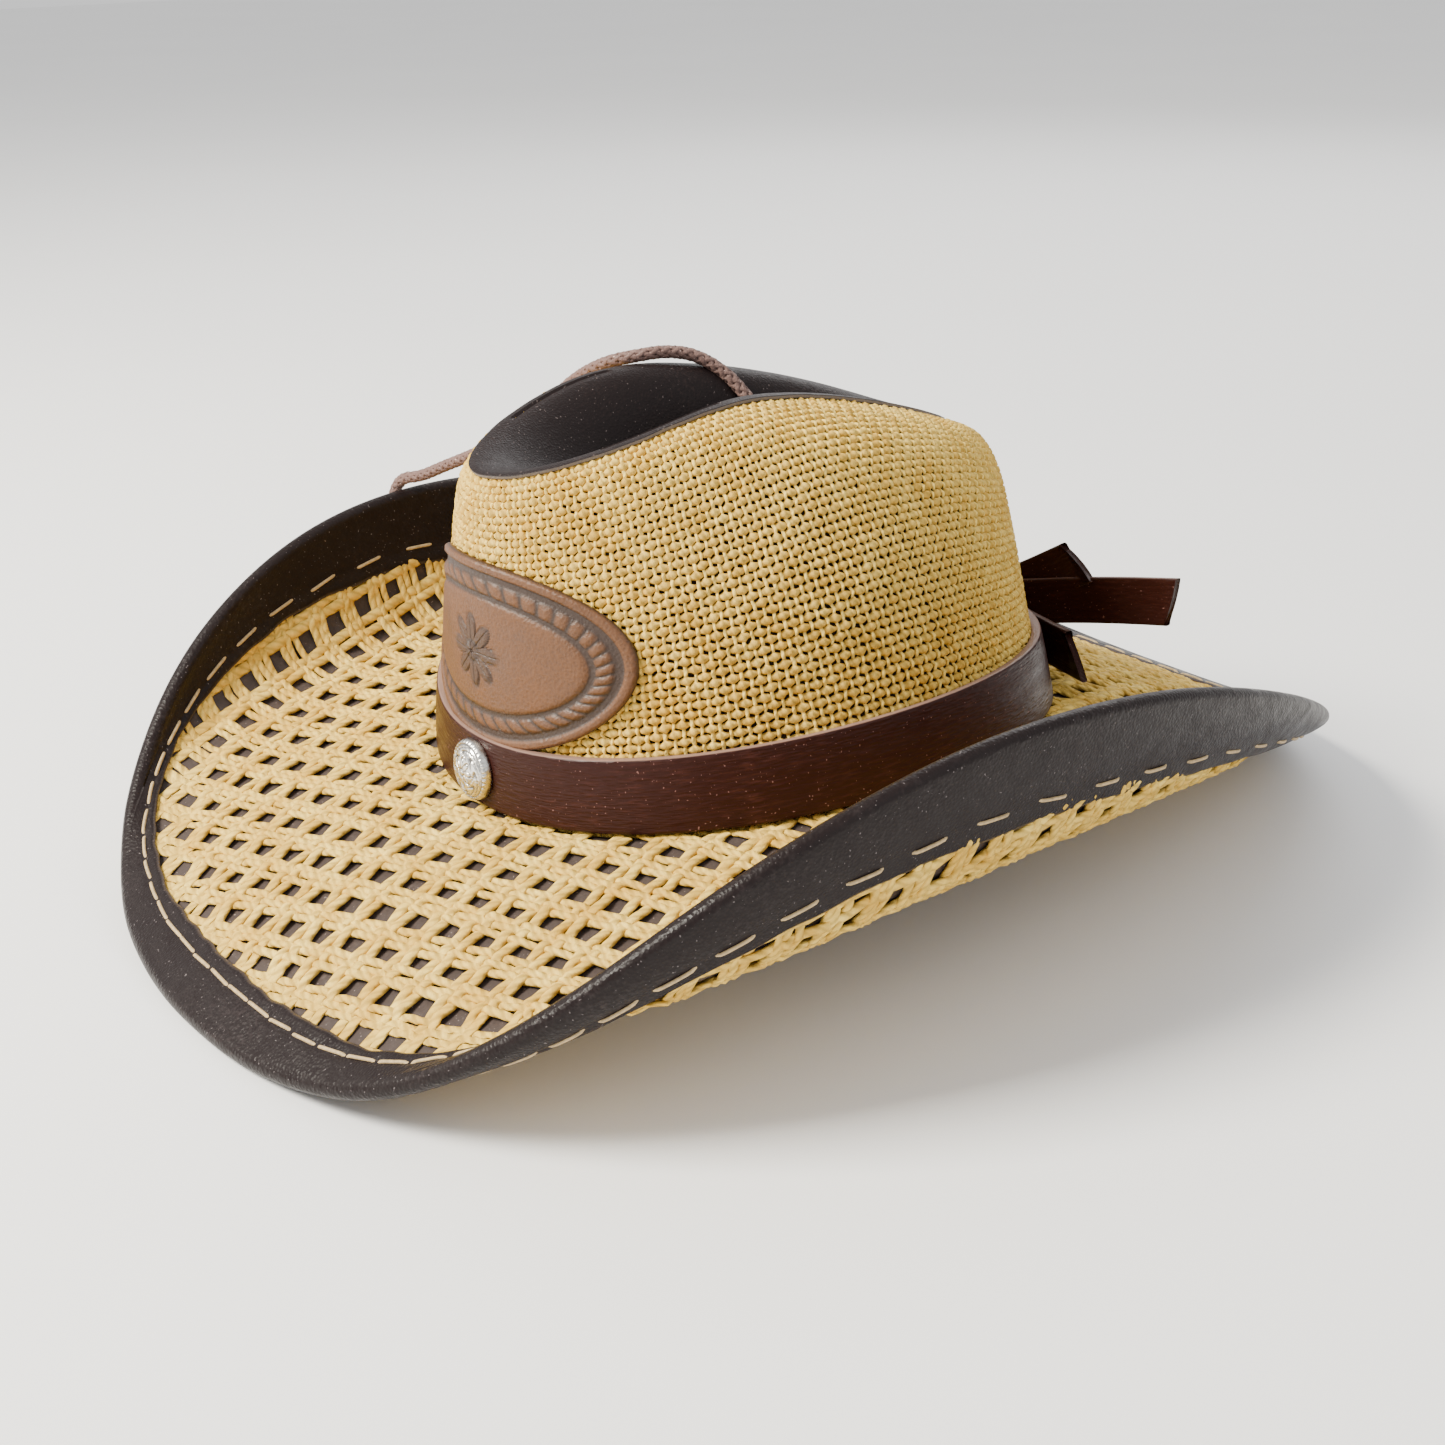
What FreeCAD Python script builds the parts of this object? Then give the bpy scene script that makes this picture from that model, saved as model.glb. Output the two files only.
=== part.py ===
import FreeCAD, Part
import math
import os

# A woven cowboy hat with a leather-bound brim, in millimetres and degrees.
#
# The hat is drawn in its own frame: the origin is the middle of the head opening, in the plane
# of the seam between crown and brim, +Z is up, the wearer's front is -Y and left is +X.
# stood() then tilts and lifts every point, so that the front and back of the brim rest on z = 0
# and the origin is the middle of the hat's footprint.
# Angles go round the hat from the front, 0, by the wearer's left, 90, to the back, 180.

# ---- head opening and the wall of the crown, from the inside out ----
HEAD_HALF_LENGTH = 93.9
HEAD_HALF_WIDTH = 90.7
SWEATBAND_THICKNESS = 1.4
SWEATBAND_HEIGHT = 36.0
SWEATBAND_GAP = 0.3
LINING_THICKNESS = 0.8
CROWN_WEAVE_THICKNESS = 2.0
SEAM_SADDLE = 9.4  # how far the seam dips at the front and back
LEAN_FRONT = 0.08  # how far the wall leans in for each millimetre of height, at the seam
LEAN_SIDE = 0.23
LEAN_BACK = 0.18
BELLY_FRONT = 50.2  # height to which the wall keeps that lean
BELLY_SIDE = 51.0
BELLY_BACK = 58.3

# ---- the crest of the crown, where the wall turns into the dent ----
CREST_FRONT_Y = -89.7
CREST_FRONT_QUARTER_Y = -55.0
CREST_SIDE_Y = -8.8
CREST_REAR_QUARTER_Y = 48.6
CREST_BACK_Y = 75.7
CREST_FRONT_QUARTER_X = 28.5
CREST_SIDE_X = 28.1
CREST_REAR_QUARTER_X = 20.5
CREST_FRONT_Z = 93.5
CREST_FRONT_QUARTER_Z = 101.9
CREST_SIDE_Z = 105.8
CREST_REAR_QUARTER_Z = 90.2
CREST_BACK_Z = 77.1
SHOULDER_FRONT = 10.2  # how far the round of the shoulder reaches out from the crest
SHOULDER_SIDE = 35.6
SHOULDER_BACK = 35.8

# ---- the dent along the top, and the hollows pinched into its front quarters ----
DENT_HALF_WIDTH = 12.0
DENT_HALF_LENGTH = 44.0
DENT_MIDDLE_Y = -8.0
DENT_MIDDLE_Z = 72.0
DENT_SLOPE = 0.16  # fall of the dent's floor towards the back
DENT_LIP = 9.0  # how far the round of the dent's lip reaches in from the crest
DENT_BOWL = 0.12  # share of the dent's depth at which its bottom begins to round
DENT_BOWL_REACH = 3.0
PINCH_DEPTH = 4.5
PINCH_ANGLE = 58.0
PINCH_SPREAD = 24.0
PINCH_HEIGHT = 0.62  # share of the wall's profile
PINCH_TALLNESS = 0.24

# ---- brim: two woven sheets with a leather sheet between them ----
BRIM_FRONT = 99.5  # how far the rim wire stands out from the seam, along the hat
BRIM_FRONT_QUARTER = 99.6
BRIM_SIDE_SHIFT = -37.5  # the widest place lies ahead of the head's middle
BRIM_REAR_QUARTER = 84.6
BRIM_BACK = 113.0
BRIM_FRONT_QUARTER_OUT = 38.0  # and how far it stands out across the hat
BRIM_SIDE_OUT = 60.6
BRIM_REAR_QUARTER_OUT = 42.8
EDGE_FRONT_Z = -41.2
EDGE_FRONT_QUARTER_Z = -20.7
EDGE_SIDE_Z = 41.3
EDGE_REAR_QUARTER_Z = -18.4
EDGE_BACK_Z = -54.1
ROOT_REACH = 0.4  # share of the way out at which the first bend of the brim pulls
ROOT_FRONT_DROP = 4.7  # how far below the seam it pulls
ROOT_SIDE_DROP = 8.7
ROOT_BACK_DROP = 8.6
CURL_FRONT_REACH = 0.74  # share of the way out at which the second bend pulls
CURL_FRONT_QUARTER_REACH = 0.95
CURL_SIDE_REACH = 0.957
CURL_REAR_QUARTER_REACH = 0.85
CURL_BACK_REACH = 0.75
CURL_FRONT = 15.0  # how far above the rim it pulls; less than nought is below it
CURL_FRONT_QUARTER = -5.3
CURL_SIDE = -57.4
CURL_REAR_QUARTER = -15.5
CURL_BACK = 10.3
CORE_THICKNESS = 0.8
BRIM_WEAVE_THICKNESS = 1.4
SEAM_CLEARANCE = 0.15

# ---- rim: a covered wire, and a leather binding folded over it ----
RIM_WIRE_DIAMETER = 3.0
RIM_CLEARANCE = 0.1
BINDING_THICKNESS = 1.0
BINDING_WIDTH = 19.0
STITCH_INSET = 13.3
STITCH_COUNT = 72
STITCH_LENGTH = 11.6
THREAD_DIAMETER = 1.1
THREAD_CLEARANCE = 0.12

# ---- leather on the crown ----
TOP_LEATHER_THICKNESS = 1.2
TOP_LAP_FRONT = 0.07  # share of the wall's profile that the leather laps down over
TOP_LAP_FRONT_QUARTER = 0.04
TOP_LAP_SIDE = 0.035
TOP_LAP_REAR_QUARTER = 0.05
TOP_LAP_BACK = 0.07
SKIN_CLEARANCE = 0.15
BADGE_THICKNESS = 2.2
BADGE_HALF_WIDTH = 51.5
BADGE_HALF_HEIGHT = 28.8
BADGE_MIDDLE = 50.7  # height of the oval's middle above the seam
BADGE_ARC = 44.0  # half the angle that the badge's blank covers
BADGE_ABOVE_BAND = 0.4  # the oval's lower end is cut off along the band
BADGE_MARGIN = 4.0  # extra height of the blank, beyond the oval punched from it
BADGE_PUNCH_START = 90.0
BADGE_PUNCH_END = 30.0

# ---- hat band, its knot and tails, and its stud ----
BAND_THICKNESS = 3.4
BAND_WIDTH = 22.0
BAND_SEAT = 2.2  # height of the band's lower edge above the brim's middle surface
BAND_CLEARANCE = 0.2
KEEPER_LENGTH = 18.0
KEEPER_THICKNESS = 2.2
KEEPER_CLEARANCE = 0.15
TAIL_THICKNESS = 2.4
TAIL_WIDTH = 16.0
TAIL_CLEARANCE = 0.15
TAIL_SLANT = 9.0
LONG_TAIL_REACH = 82.0
LONG_TAIL_RISE = 19.5
LONG_TAIL_BACK = 10.0  # how far a tail's end stands behind its start
LONG_TAIL_BOW = 4.0
SHORT_TAIL_REACH = 40.0
SHORT_TAIL_RISE = 23.0
SHORT_TAIL_BACK = 7.0
SHORT_TAIL_BOW = 3.0
END_FROM = 167.0  # the strap's hanging end, from the keeper round towards the wearer's left
END_TO = 143.0
END_WIDTH = 15.0
END_STAND_OFF = 8.0  # how far its tip stands off the band
END_CLEARANCE = 0.5
END_DROP = 2.5
END_SLANT = -12.0
STUD_DIAMETER = 19.0
STUD_HEIGHT = 5.2
STUD_RIM = 1.2
STUD_ARC_SHARE = 0.55  # share of the radius at which the dome is fixed to its sphere
STUD_SEAT = 0.1
WASHER_CLEARANCE = 0.05
STUD_POST_DIAMETER = 3.6
STUD_POST_CLEARANCE = 0.2
WASHER_DIAMETER = 11.0
WASHER_THICKNESS = 0.9

# ---- sweatband stitches ----
SWEATBAND_STITCH_COUNT = 44
SWEATBAND_STITCH_LENGTH = 8.0
SWEATBAND_STITCH_HEIGHT = 4.0

# ---- chin lace ----
LACE_DIAMETER = 4.6
LACE_TAB_WIDTH = 14.0
LACE_TAB_THICKNESS = 5.0
LACE_TAB_HEIGHT = 14.0
LACE_TAB_GAP = 0.3
LACE_TAB_ROUND = 1.2
LACE_KNOT_DIAMETER = 9.4
LACE_KNOT_LENGTH = 10.0
LACE_KNOT_SHOULDER = 0.4
LACE_ANGLE = 268.0
LACE_ARC_SHARE = 0.45
LACE_ROUTE = [
    (-108.0, -3.0, -15.0),
    (-122.0, -10.0, -18.5),
    (-137.0, -18.0, -18.5),
    (-150.0, -26.0, -13.0),
    (-160.0, -31.0, -2.0),
    (-165.0, -35.0, 12.0),
    (-166.5, -37.5, 26.0),
    (-166.0, -38.0, 39.0),
    (-160.0, -37.5, 51.0),
    (-147.0, -34.0, 55.5),
    (-132.0, -30.5, 59.0),
    (-116.0, -28.0, 64.5),
    (-100.0, -26.0, 72.0),
    (-84.0, -25.0, 81.5),
    (-68.0, -24.0, 93.0),
    (-52.0, -22.0, 104.5),
    (-38.0, -16.5, 112.5),
    (-29.0, -5.0, 114.5),
    (-22.0, 6.5, 110.5),
    (-14.5, 15.0, 101.0),
    (-9.0, 18.5, 90.5),
    (-4.5, 20.5, 81.0),
]

# ---- what follows from them ----
WALL_BUILD = SWEATBAND_THICKNESS + SWEATBAND_GAP + LINING_THICKNESS + CROWN_WEAVE_THICKNESS
CROWN_HALF_LENGTH = HEAD_HALF_LENGTH + WALL_BUILD
CROWN_HALF_WIDTH = HEAD_HALF_WIDTH + WALL_BUILD
BRIM_HALF_STACK = CORE_THICKNESS / 2 + BRIM_WEAVE_THICKNESS
RIM_INNER_RADIUS = BRIM_HALF_STACK + RIM_CLEARANCE
RIM_OUTER_RADIUS = RIM_INNER_RADIUS + BINDING_THICKNESS
STATIONS = 48
QUARTERS = 4


def radians(degrees):
    return degrees * math.pi / 180


# ------------------------------------------------------------------ small vector helpers
def add(a, b, scale=1.0):
    return (a[0] + b[0] * scale, a[1] + b[1] * scale, a[2] + b[2] * scale)


def less(a, b):
    return add(a, b, -1.0)


def cross(a, b):
    return (a[1] * b[2] - a[2] * b[1], a[2] * b[0] - a[0] * b[2], a[0] * b[1] - a[1] * b[0])


def length(a):
    return math.sqrt(a[0] ** 2 + a[1] ** 2 + a[2] ** 2)


def unit(a):
    size = length(a)
    return (a[0] / size, a[1] / size, a[2] / size)


def blend(a, b, share):
    return add(a, less(b, a), share)


def bezier(points, share):
    """The point at share of a Bezier curve, by repeated blending."""
    while len(points) > 1:
        points = [blend(a, b, share) for a, b in zip(points, points[1:])]
    return points[0]


def even(angle, values):
    """A smooth round-the-hat value, the same left and right: the cosine series through five
    values, at 0, 45, 90, 135 and 180 degrees from the front."""
    total = 0.0
    for order in range(QUARTERS + 1):
        share = 0.0
        for place, value in enumerate(values):
            weight = 0.5 if place in (0, QUARTERS) else 1.0
            share += weight * value * math.cos(order * place * math.pi / QUARTERS)
        weight = 0.5 if order in (0, QUARTERS) else 1.0
        total += weight * share * 2 / QUARTERS * math.cos(order * angle)
    return total


def odd(angle, values):
    """The sine series through three values, at 45, 90 and 135 degrees; nought at 0 and 180."""
    total = 0.0
    for order in range(1, QUARTERS):
        share = 0.0
        for place, value in enumerate(values, start=1):
            share += value * math.sin(order * place * math.pi / QUARTERS)
        total += share * 2 / QUARTERS * math.sin(order * angle)
    return total


# ------------------------------------------------------------------ surfaces of the hat
def seam(angle):
    """The crown's outer surface at the seam with the brim."""
    return (
        CROWN_HALF_WIDTH * math.sin(angle),
        -CROWN_HALF_LENGTH * math.cos(angle),
        -SEAM_SADDLE * math.cos(angle) ** 2,
    )


def crest(angle):
    """The top line of the crown, all round the dent."""
    across = (CREST_FRONT_QUARTER_X, CREST_SIDE_X, CREST_REAR_QUARTER_X)
    along = (CREST_FRONT_Y, CREST_FRONT_QUARTER_Y, CREST_SIDE_Y, CREST_REAR_QUARTER_Y, CREST_BACK_Y)
    up = (CREST_FRONT_Z, CREST_FRONT_QUARTER_Z, CREST_SIDE_Z, CREST_REAR_QUARTER_Z, CREST_BACK_Z)
    return (odd(angle, across), even(angle, along), even(angle, up))


def dent_floor(angle):
    """The flat oval at the bottom of the dent."""
    y = DENT_MIDDLE_Y - DENT_HALF_LENGTH * math.cos(angle)
    return (DENT_HALF_WIDTH * math.sin(angle), y, DENT_MIDDLE_Z - DENT_SLOPE * (y - DENT_MIDDLE_Y))


def outward(angle):
    """Level direction from the crest to the seam."""
    run = less(seam(angle), crest(angle))
    return unit((run[0], run[1], 0.0))


def three(angle, front, side, back):
    """A smooth round-the-hat value from its front, side and back."""
    return even(angle, (front, (front + side) / 2, side, (side + back) / 2, back))


def pinch(angle, share):
    """Depth of the two hollows in the front quarters of the wall."""
    turn = abs((angle + math.pi) % (2 * math.pi) - math.pi)
    across = (turn - radians(PINCH_ANGLE)) / radians(PINCH_SPREAD)
    up = (share - PINCH_HEIGHT) / PINCH_TALLNESS
    return PINCH_DEPTH * math.exp(-(across ** 2) - up ** 2)


def crown(angle, share):
    """The crown's outer surface: share 0 at the seam, 1 on the crest, 2 at the dent's floor."""
    out = outward(angle)
    top = crest(angle)
    if share <= 1:
        reach = three(angle, SHOULDER_FRONT, SHOULDER_SIDE, SHOULDER_BACK)
        lean = three(angle, LEAN_FRONT, LEAN_SIDE, LEAN_BACK)
        height = three(angle, BELLY_FRONT, BELLY_SIDE, BELLY_BACK)
        foot = seam(angle)
        belly = add(add(foot, out, -lean * height), (0, 0, 1), height)
        point = bezier([foot, belly, add(top, out, reach), top], share)
        return add(point, out, -pinch(angle, share))
    floor = dent_floor(angle)
    lip = add(top, out, -DENT_LIP)
    slope = (floor[0], floor[1], floor[2] + DENT_BOWL * (top[2] - floor[2]))
    slope = add(slope, out, DENT_BOWL_REACH)
    return bezier([top, lip, slope, floor], share - 1)


def crown_normal(angle, share):
    """Unit normal of the crown, away from the head."""
    step = 0.002
    low = max(share - step, 0.0)
    high = min(share + step, 2.0)
    round_the_hat = less(crown(angle + step, share), crown(angle - step, share))
    upwards = less(crown(angle, high), crown(angle, low))
    return unit(cross(round_the_hat, upwards))


def crown_share(angle, height):
    """Share of the wall's profile at a height above the seam."""
    low = 0.0
    high = 1.0
    for _ in range(30):
        middle = (low + high) / 2
        if crown(angle, middle)[2] - seam(angle)[2] < height:
            low = middle
        else:
            high = middle
    return (low + high) / 2


def on_wall(angle, height, offset):
    """A point that stands off the crown's wall, at a height above the seam."""
    share = crown_share(angle, height)
    return add(crown(angle, share), crown_normal(angle, share), offset)


def brim_edge(angle):
    """The line of the rim wire."""
    foot = seam(angle)
    across = (BRIM_FRONT_QUARTER_OUT, BRIM_SIDE_OUT, BRIM_REAR_QUARTER_OUT)
    along = (
        -BRIM_FRONT,
        -BRIM_FRONT_QUARTER,
        BRIM_SIDE_SHIFT,
        BRIM_REAR_QUARTER,
        BRIM_BACK,
    )
    up = (EDGE_FRONT_Z, EDGE_FRONT_QUARTER_Z, EDGE_SIDE_Z, EDGE_REAR_QUARTER_Z, EDGE_BACK_Z)
    return (foot[0] + odd(angle, across), foot[1] + even(angle, along), even(angle, up))


def brim(angle, share):
    """The middle surface of the brim: share 0 at the seam, 1 at the rim."""
    foot = seam(angle)
    edge = brim_edge(angle)
    drop = three(angle, ROOT_FRONT_DROP, ROOT_SIDE_DROP, ROOT_BACK_DROP)
    reaches = (
        CURL_FRONT_REACH,
        CURL_FRONT_QUARTER_REACH,
        CURL_SIDE_REACH,
        CURL_REAR_QUARTER_REACH,
        CURL_BACK_REACH,
    )
    rises = (CURL_FRONT, CURL_FRONT_QUARTER, CURL_SIDE, CURL_REAR_QUARTER, CURL_BACK)
    root = blend(foot, edge, ROOT_REACH)
    root = (root[0], root[1], foot[2] - drop)
    curl = blend(foot, edge, even(angle, reaches))
    curl = (curl[0], curl[1], edge[2] + even(angle, rises))
    return bezier([foot, root, curl, edge], share)


def brim_frame(angle, share):
    """The outward tangent and the upper normal of the brim."""
    step = 0.002
    round_the_hat = less(brim(angle + step, share), brim(angle - step, share))
    out = unit(less(brim(angle, share + step), brim(angle, share - step)))
    return out, unit(cross(out, round_the_hat))


def brim_run(angle):
    """Length of the brim's profile from the seam to the rim."""
    steps = 12
    marks = [brim(angle, step / steps) for step in range(steps + 1)]
    return sum(length(less(b, a)) for a, b in zip(marks, marks[1:]))


def over_brim(angle, from_edge, height):
    """A point at a distance in from the rim wire and a height over the brim's middle surface."""
    share = 1 - from_edge / brim_run(angle)
    return add(brim(angle, share), brim_frame(angle, share)[1], height)


def round_rim(angle, radius, turn):
    """A point round the rim wire: turn 90 is above it, 0 outside it and -90 below it."""
    out, up = brim_frame(angle, 1.0)
    point = add(brim_edge(angle), out, radius * math.cos(radians(turn)))
    return add(point, up, radius * math.sin(radians(turn)))


# ------------------------------------------------------------------ standing the hat on the floor
FRONT_RIM = brim_edge(0.0)
BACK_RIM = brim_edge(math.pi)
TILT = math.atan2(FRONT_RIM[2] - BACK_RIM[2], BACK_RIM[1] - FRONT_RIM[1])


def tilted(point):
    """The hat turned about X, until the front and back of the rim are level."""
    y = point[1] * math.cos(TILT) - point[2] * math.sin(TILT)
    z = point[2] * math.cos(TILT) + point[1] * math.sin(TILT)
    return (point[0], y, z)


LIFT = RIM_OUTER_RADIUS - tilted(FRONT_RIM)[2]
SHIFT = -(tilted(FRONT_RIM)[1] + tilted(BACK_RIM)[1]) / 2


def stood(point):
    """A point of the hat, as a vector in the frame of the standing hat."""
    turned = tilted(point)
    return FreeCAD.Vector(turned[0], turned[1] + SHIFT, turned[2] + LIFT)


def stood_direction(direction):
    return FreeCAD.Vector(*tilted(direction))


# ------------------------------------------------------------------ building blocks
def ring(place):
    """A closed smooth wire through place(angle), at equal steps round the hat."""
    points = [stood(place(2 * math.pi * step / STATIONS)) for step in range(STATIONS)]
    marks = [step / STATIONS for step in range(STATIONS + 1)]
    curve = Part.BSplineCurve()
    curve.interpolate(Points=points, PeriodicFlag=True, Parameters=marks)
    return Part.Wire([curve.toShape()])


def open_wire(places):
    """A smooth open wire through points of the hat."""
    curve = Part.BSplineCurve()
    curve.interpolate(Points=[stood(point) for point in places])
    return Part.Wire([curve.toShape()])


def skin(wires):
    """A ruled face between each wire and the next."""
    faces = []
    for lower, upper in zip(wires, wires[1:]):
        faces += Part.makeLoft([lower, upper], False, True).Faces
    return faces


def closed_solid(faces):
    """Sews faces into one closed solid, its faces pointing out."""
    shell = Part.makeShell(faces)
    shell.sewShape()
    if len(shell.Shells) != 1:
        raise ValueError("the faces do not make one shell")
    solid = Part.makeSolid(shell.Shells[0])
    if solid.Volume < 0:
        solid.reverse()
    if not solid.isValid():
        solid.fix(0.001, 0.001, 0.01)
    return solid


def ring_solid(places):
    """A closed band round the hat; places are the corners of its section, in order."""
    wires = [ring(place) for place in places]
    faces = []
    for first, second in zip(wires, wires[1:] + wires[:1]):
        faces += skin([first, second])
    return closed_solid(faces)


def sheet_solid(lower, upper):
    """A closed sheet round the hat, between two smooth skins given as lists of places."""
    low = [ring(place) for place in lower]
    high = [ring(place) for place in upper]
    faces = skin(low) + skin(high) + skin([low[0], high[0]]) + skin([low[-1], high[-1]])
    return closed_solid(faces)


def shares(first, last, count):
    return [first + (last - first) * step / (count - 1) for step in range(count)]


# ------------------------------------------------------------------ crown
WALL_SHARES = [0.0, 0.15, 0.3, 0.45, 0.6, 0.72, 0.82, 0.9, 0.96]
DENT_SHARES = [1.0, 1.08, 1.2, 1.4, 1.6, 1.8]


def foot_normal(angle):
    """Level normal of the wall at the seam."""
    across = math.sin(angle) / CROWN_HALF_WIDTH
    along = -math.cos(angle) / CROWN_HALF_LENGTH
    return unit((across, along, 0.0))


def crown_foot(offset):
    """The lower end of the wall, level with the underside of the brim."""
    return lambda angle: add(
        add(seam(angle), foot_normal(angle), offset), (0, 0, 1), -BRIM_HALF_STACK
    )


def crown_ring(share, offset):
    """A line round the crown that stands off its outer surface."""
    return lambda angle: add(crown(angle, share), crown_normal(angle, share), offset)


def floor_ring(offset):
    """The edge of the dent's flat floor, which stays flat at any offset."""
    return lambda angle: add(dent_floor(angle), unit((0.0, DENT_SLOPE, 1.0)), offset)


def crown_skin(offset):
    """The places of one skin of the crown, from its foot to the dent's floor."""
    wall = [crown_ring(share, offset) for share in WALL_SHARES + DENT_SHARES]
    return [crown_foot(offset)] + wall + [floor_ring(offset)]


def crown_layer(inner, outer):
    """A dented cap between two offsets from the crown's outer surface."""
    faces = []
    feet = []
    for offset in (inner, outer):
        wires = [ring(place) for place in crown_skin(offset)]
        faces += skin(wires)
        faces.append(Part.Face(wires[-1]))
        feet.append(wires[0])
    faces += skin(feet)
    return closed_solid(faces)


def crown_weave():
    return crown_layer(-CROWN_WEAVE_THICKNESS, 0.0)


def crown_lining():
    return crown_layer(-CROWN_WEAVE_THICKNESS - LINING_THICKNESS, -CROWN_WEAVE_THICKNESS)


def crown_top_leather():
    """The leather that lines the dent and laps over the crest."""
    lap = (TOP_LAP_FRONT, TOP_LAP_FRONT_QUARTER, TOP_LAP_SIDE, TOP_LAP_REAR_QUARTER, TOP_LAP_BACK)
    faces = []
    rims = []
    for offset in (SKIN_CLEARANCE, SKIN_CLEARANCE + TOP_LEATHER_THICKNESS):
        places = []
        for step in shares(0.0, 1.0, 4)[:-1]:
            places.append(
                lambda angle, k=step, d=offset: add(
                    crown(angle, 1 - even(angle, lap) * (1 - k)),
                    crown_normal(angle, 1 - even(angle, lap) * (1 - k)),
                    d,
                )
            )
        places += [crown_ring(share, offset) for share in DENT_SHARES]
        places.append(floor_ring(offset))
        wires = [ring(place) for place in places]
        faces += skin(wires)
        faces.append(Part.Face(wires[-1]))
        rims.append(wires[0])
    faces += skin(rims)
    return closed_solid(faces)


def crown_badge():
    """The oval leather badge on the front of the crown, curved to the wall."""
    low = BAND_SEAT + BAND_WIDTH + BADGE_ABOVE_BAND
    rows = shares(low, BADGE_MIDDLE + BADGE_HALF_HEIGHT + BADGE_MARGIN, 7)
    columns = shares(-radians(BADGE_ARC), radians(BADGE_ARC), 15)
    faces = []
    borders = []
    for offset in (SKIN_CLEARANCE, SKIN_CLEARANCE + BADGE_THICKNESS):
        wires = []
        for height in rows:
            wires.append(open_wire([on_wall(angle, height, offset) for angle in columns]))
        surface = Part.makeLoft(wires, False, False).Faces[0]
        faces.append(surface)
        borders.append(Part.sortEdges(surface.OuterWire.Edges)[0])
    for lower in borders[0]:
        middle = lower.valueAt((lower.FirstParameter + lower.LastParameter) / 2)
        upper = min(borders[1], key=lambda edge: edge.distToShape(Part.Vertex(middle))[0])
        faces.append(Part.makeRuledSurface(lower, upper))
    blank = closed_solid(faces)
    axis = stood_direction((0.0, -1.0, 0.0))
    middle = stood(on_wall(0.0, BADGE_MIDDLE, 0.0))
    edge = Part.Ellipse(middle, BADGE_HALF_WIDTH, BADGE_HALF_HEIGHT).toShape()
    edge.rotate(middle, FreeCAD.Vector(1, 0, 0), 90 + TILT * 180 / math.pi)
    start = Part.Face(Part.Wire([edge]))
    start.translate(axis * -BADGE_PUNCH_START)
    punch = start.extrude(axis * (BADGE_PUNCH_START + BADGE_PUNCH_END))
    return blank.common(punch).Solids[0]


# ------------------------------------------------------------------ brim and rim
def brim_layer(low, high):
    """A sheet of the brim between two heights over its middle surface."""
    inset = RIM_WIRE_DIAMETER / 2 + RIM_CLEARANCE
    skins = []
    for height in (low, high):
        places = [
            lambda angle, h=height: add(
                add(seam(angle), foot_normal(angle), SEAM_CLEARANCE), (0.0, 0.0, 1.0), h
            )
        ]
        for step in shares(0.0, 1.0, 9)[1:]:
            places.append(lambda angle, k=step, h=height: over_brim(
                angle, brim_run(angle) * (1 - k) + inset * k, h))
        skins.append(places)
    return sheet_solid(skins[0], skins[1])


def brim_lower_weave():
    return brim_layer(-BRIM_HALF_STACK, -CORE_THICKNESS / 2)


def brim_core():
    return brim_layer(-CORE_THICKNESS / 2, CORE_THICKNESS / 2)


def brim_upper_weave():
    return brim_layer(CORE_THICKNESS / 2, BRIM_HALF_STACK)


def rim_wire():
    """The covered wire that holds the shape of the rim, eight flats to its section."""
    radius = RIM_WIRE_DIAMETER / 2
    turns = range(0, 360, 45)
    return ring_solid([lambda angle, turn=turn: round_rim(angle, radius, turn) for turn in turns])


def rim_binding():
    """The leather folded over the rim, drawn as the corners of its section."""
    places = []
    inner = RIM_INNER_RADIUS
    outer = RIM_OUTER_RADIUS
    steps = shares(BINDING_WIDTH, 0.0, 4)[:-1]
    for step in steps:
        places.append(lambda angle, u=step: over_brim(angle, u, outer))
    for turn in range(90, -91, -30):
        places.append(lambda angle, turn=turn: round_rim(angle, outer, turn))
    for step in reversed(steps):
        places.append(lambda angle, u=step: over_brim(angle, u, -outer))
    for step in steps:
        places.append(lambda angle, u=step: over_brim(angle, u, -inner))
    for turn in range(-90, 91, 30):
        places.append(lambda angle, turn=turn: round_rim(angle, inner, turn))
    for step in reversed(steps):
        places.append(lambda angle, u=step: over_brim(angle, u, inner))
    return ring_solid(places)


def stitch(start, end, radius):
    """One straight run of thread."""
    run = end.sub(start)
    return Part.makeCylinder(radius, run.Length, start, run)


def binding_stitches(side):
    """A row of stitches on the binding: side 1 above the brim, -1 below it."""
    height = side * (RIM_OUTER_RADIUS + THREAD_CLEARANCE + THREAD_DIAMETER / 2)
    pitch = 2 * math.pi / STITCH_COUNT
    made = []
    for number in range(STITCH_COUNT):
        middle = over_brim(number * pitch, STITCH_INSET, height)
        beyond = over_brim(number * pitch + pitch / 2, STITCH_INSET, height)
        half = pitch / 2 * STITCH_LENGTH / 2 / length(less(beyond, middle))
        start = stood(over_brim(number * pitch - half, STITCH_INSET, height))
        end = stood(over_brim(number * pitch + half, STITCH_INSET, height))
        made.append(stitch(start, end, THREAD_DIAMETER / 2))
    return Part.makeCompound(made)


# ------------------------------------------------------------------ sweatband
SWEATBAND_OUTSIDE = -(CROWN_WEAVE_THICKNESS + LINING_THICKNESS + SWEATBAND_GAP)


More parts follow.
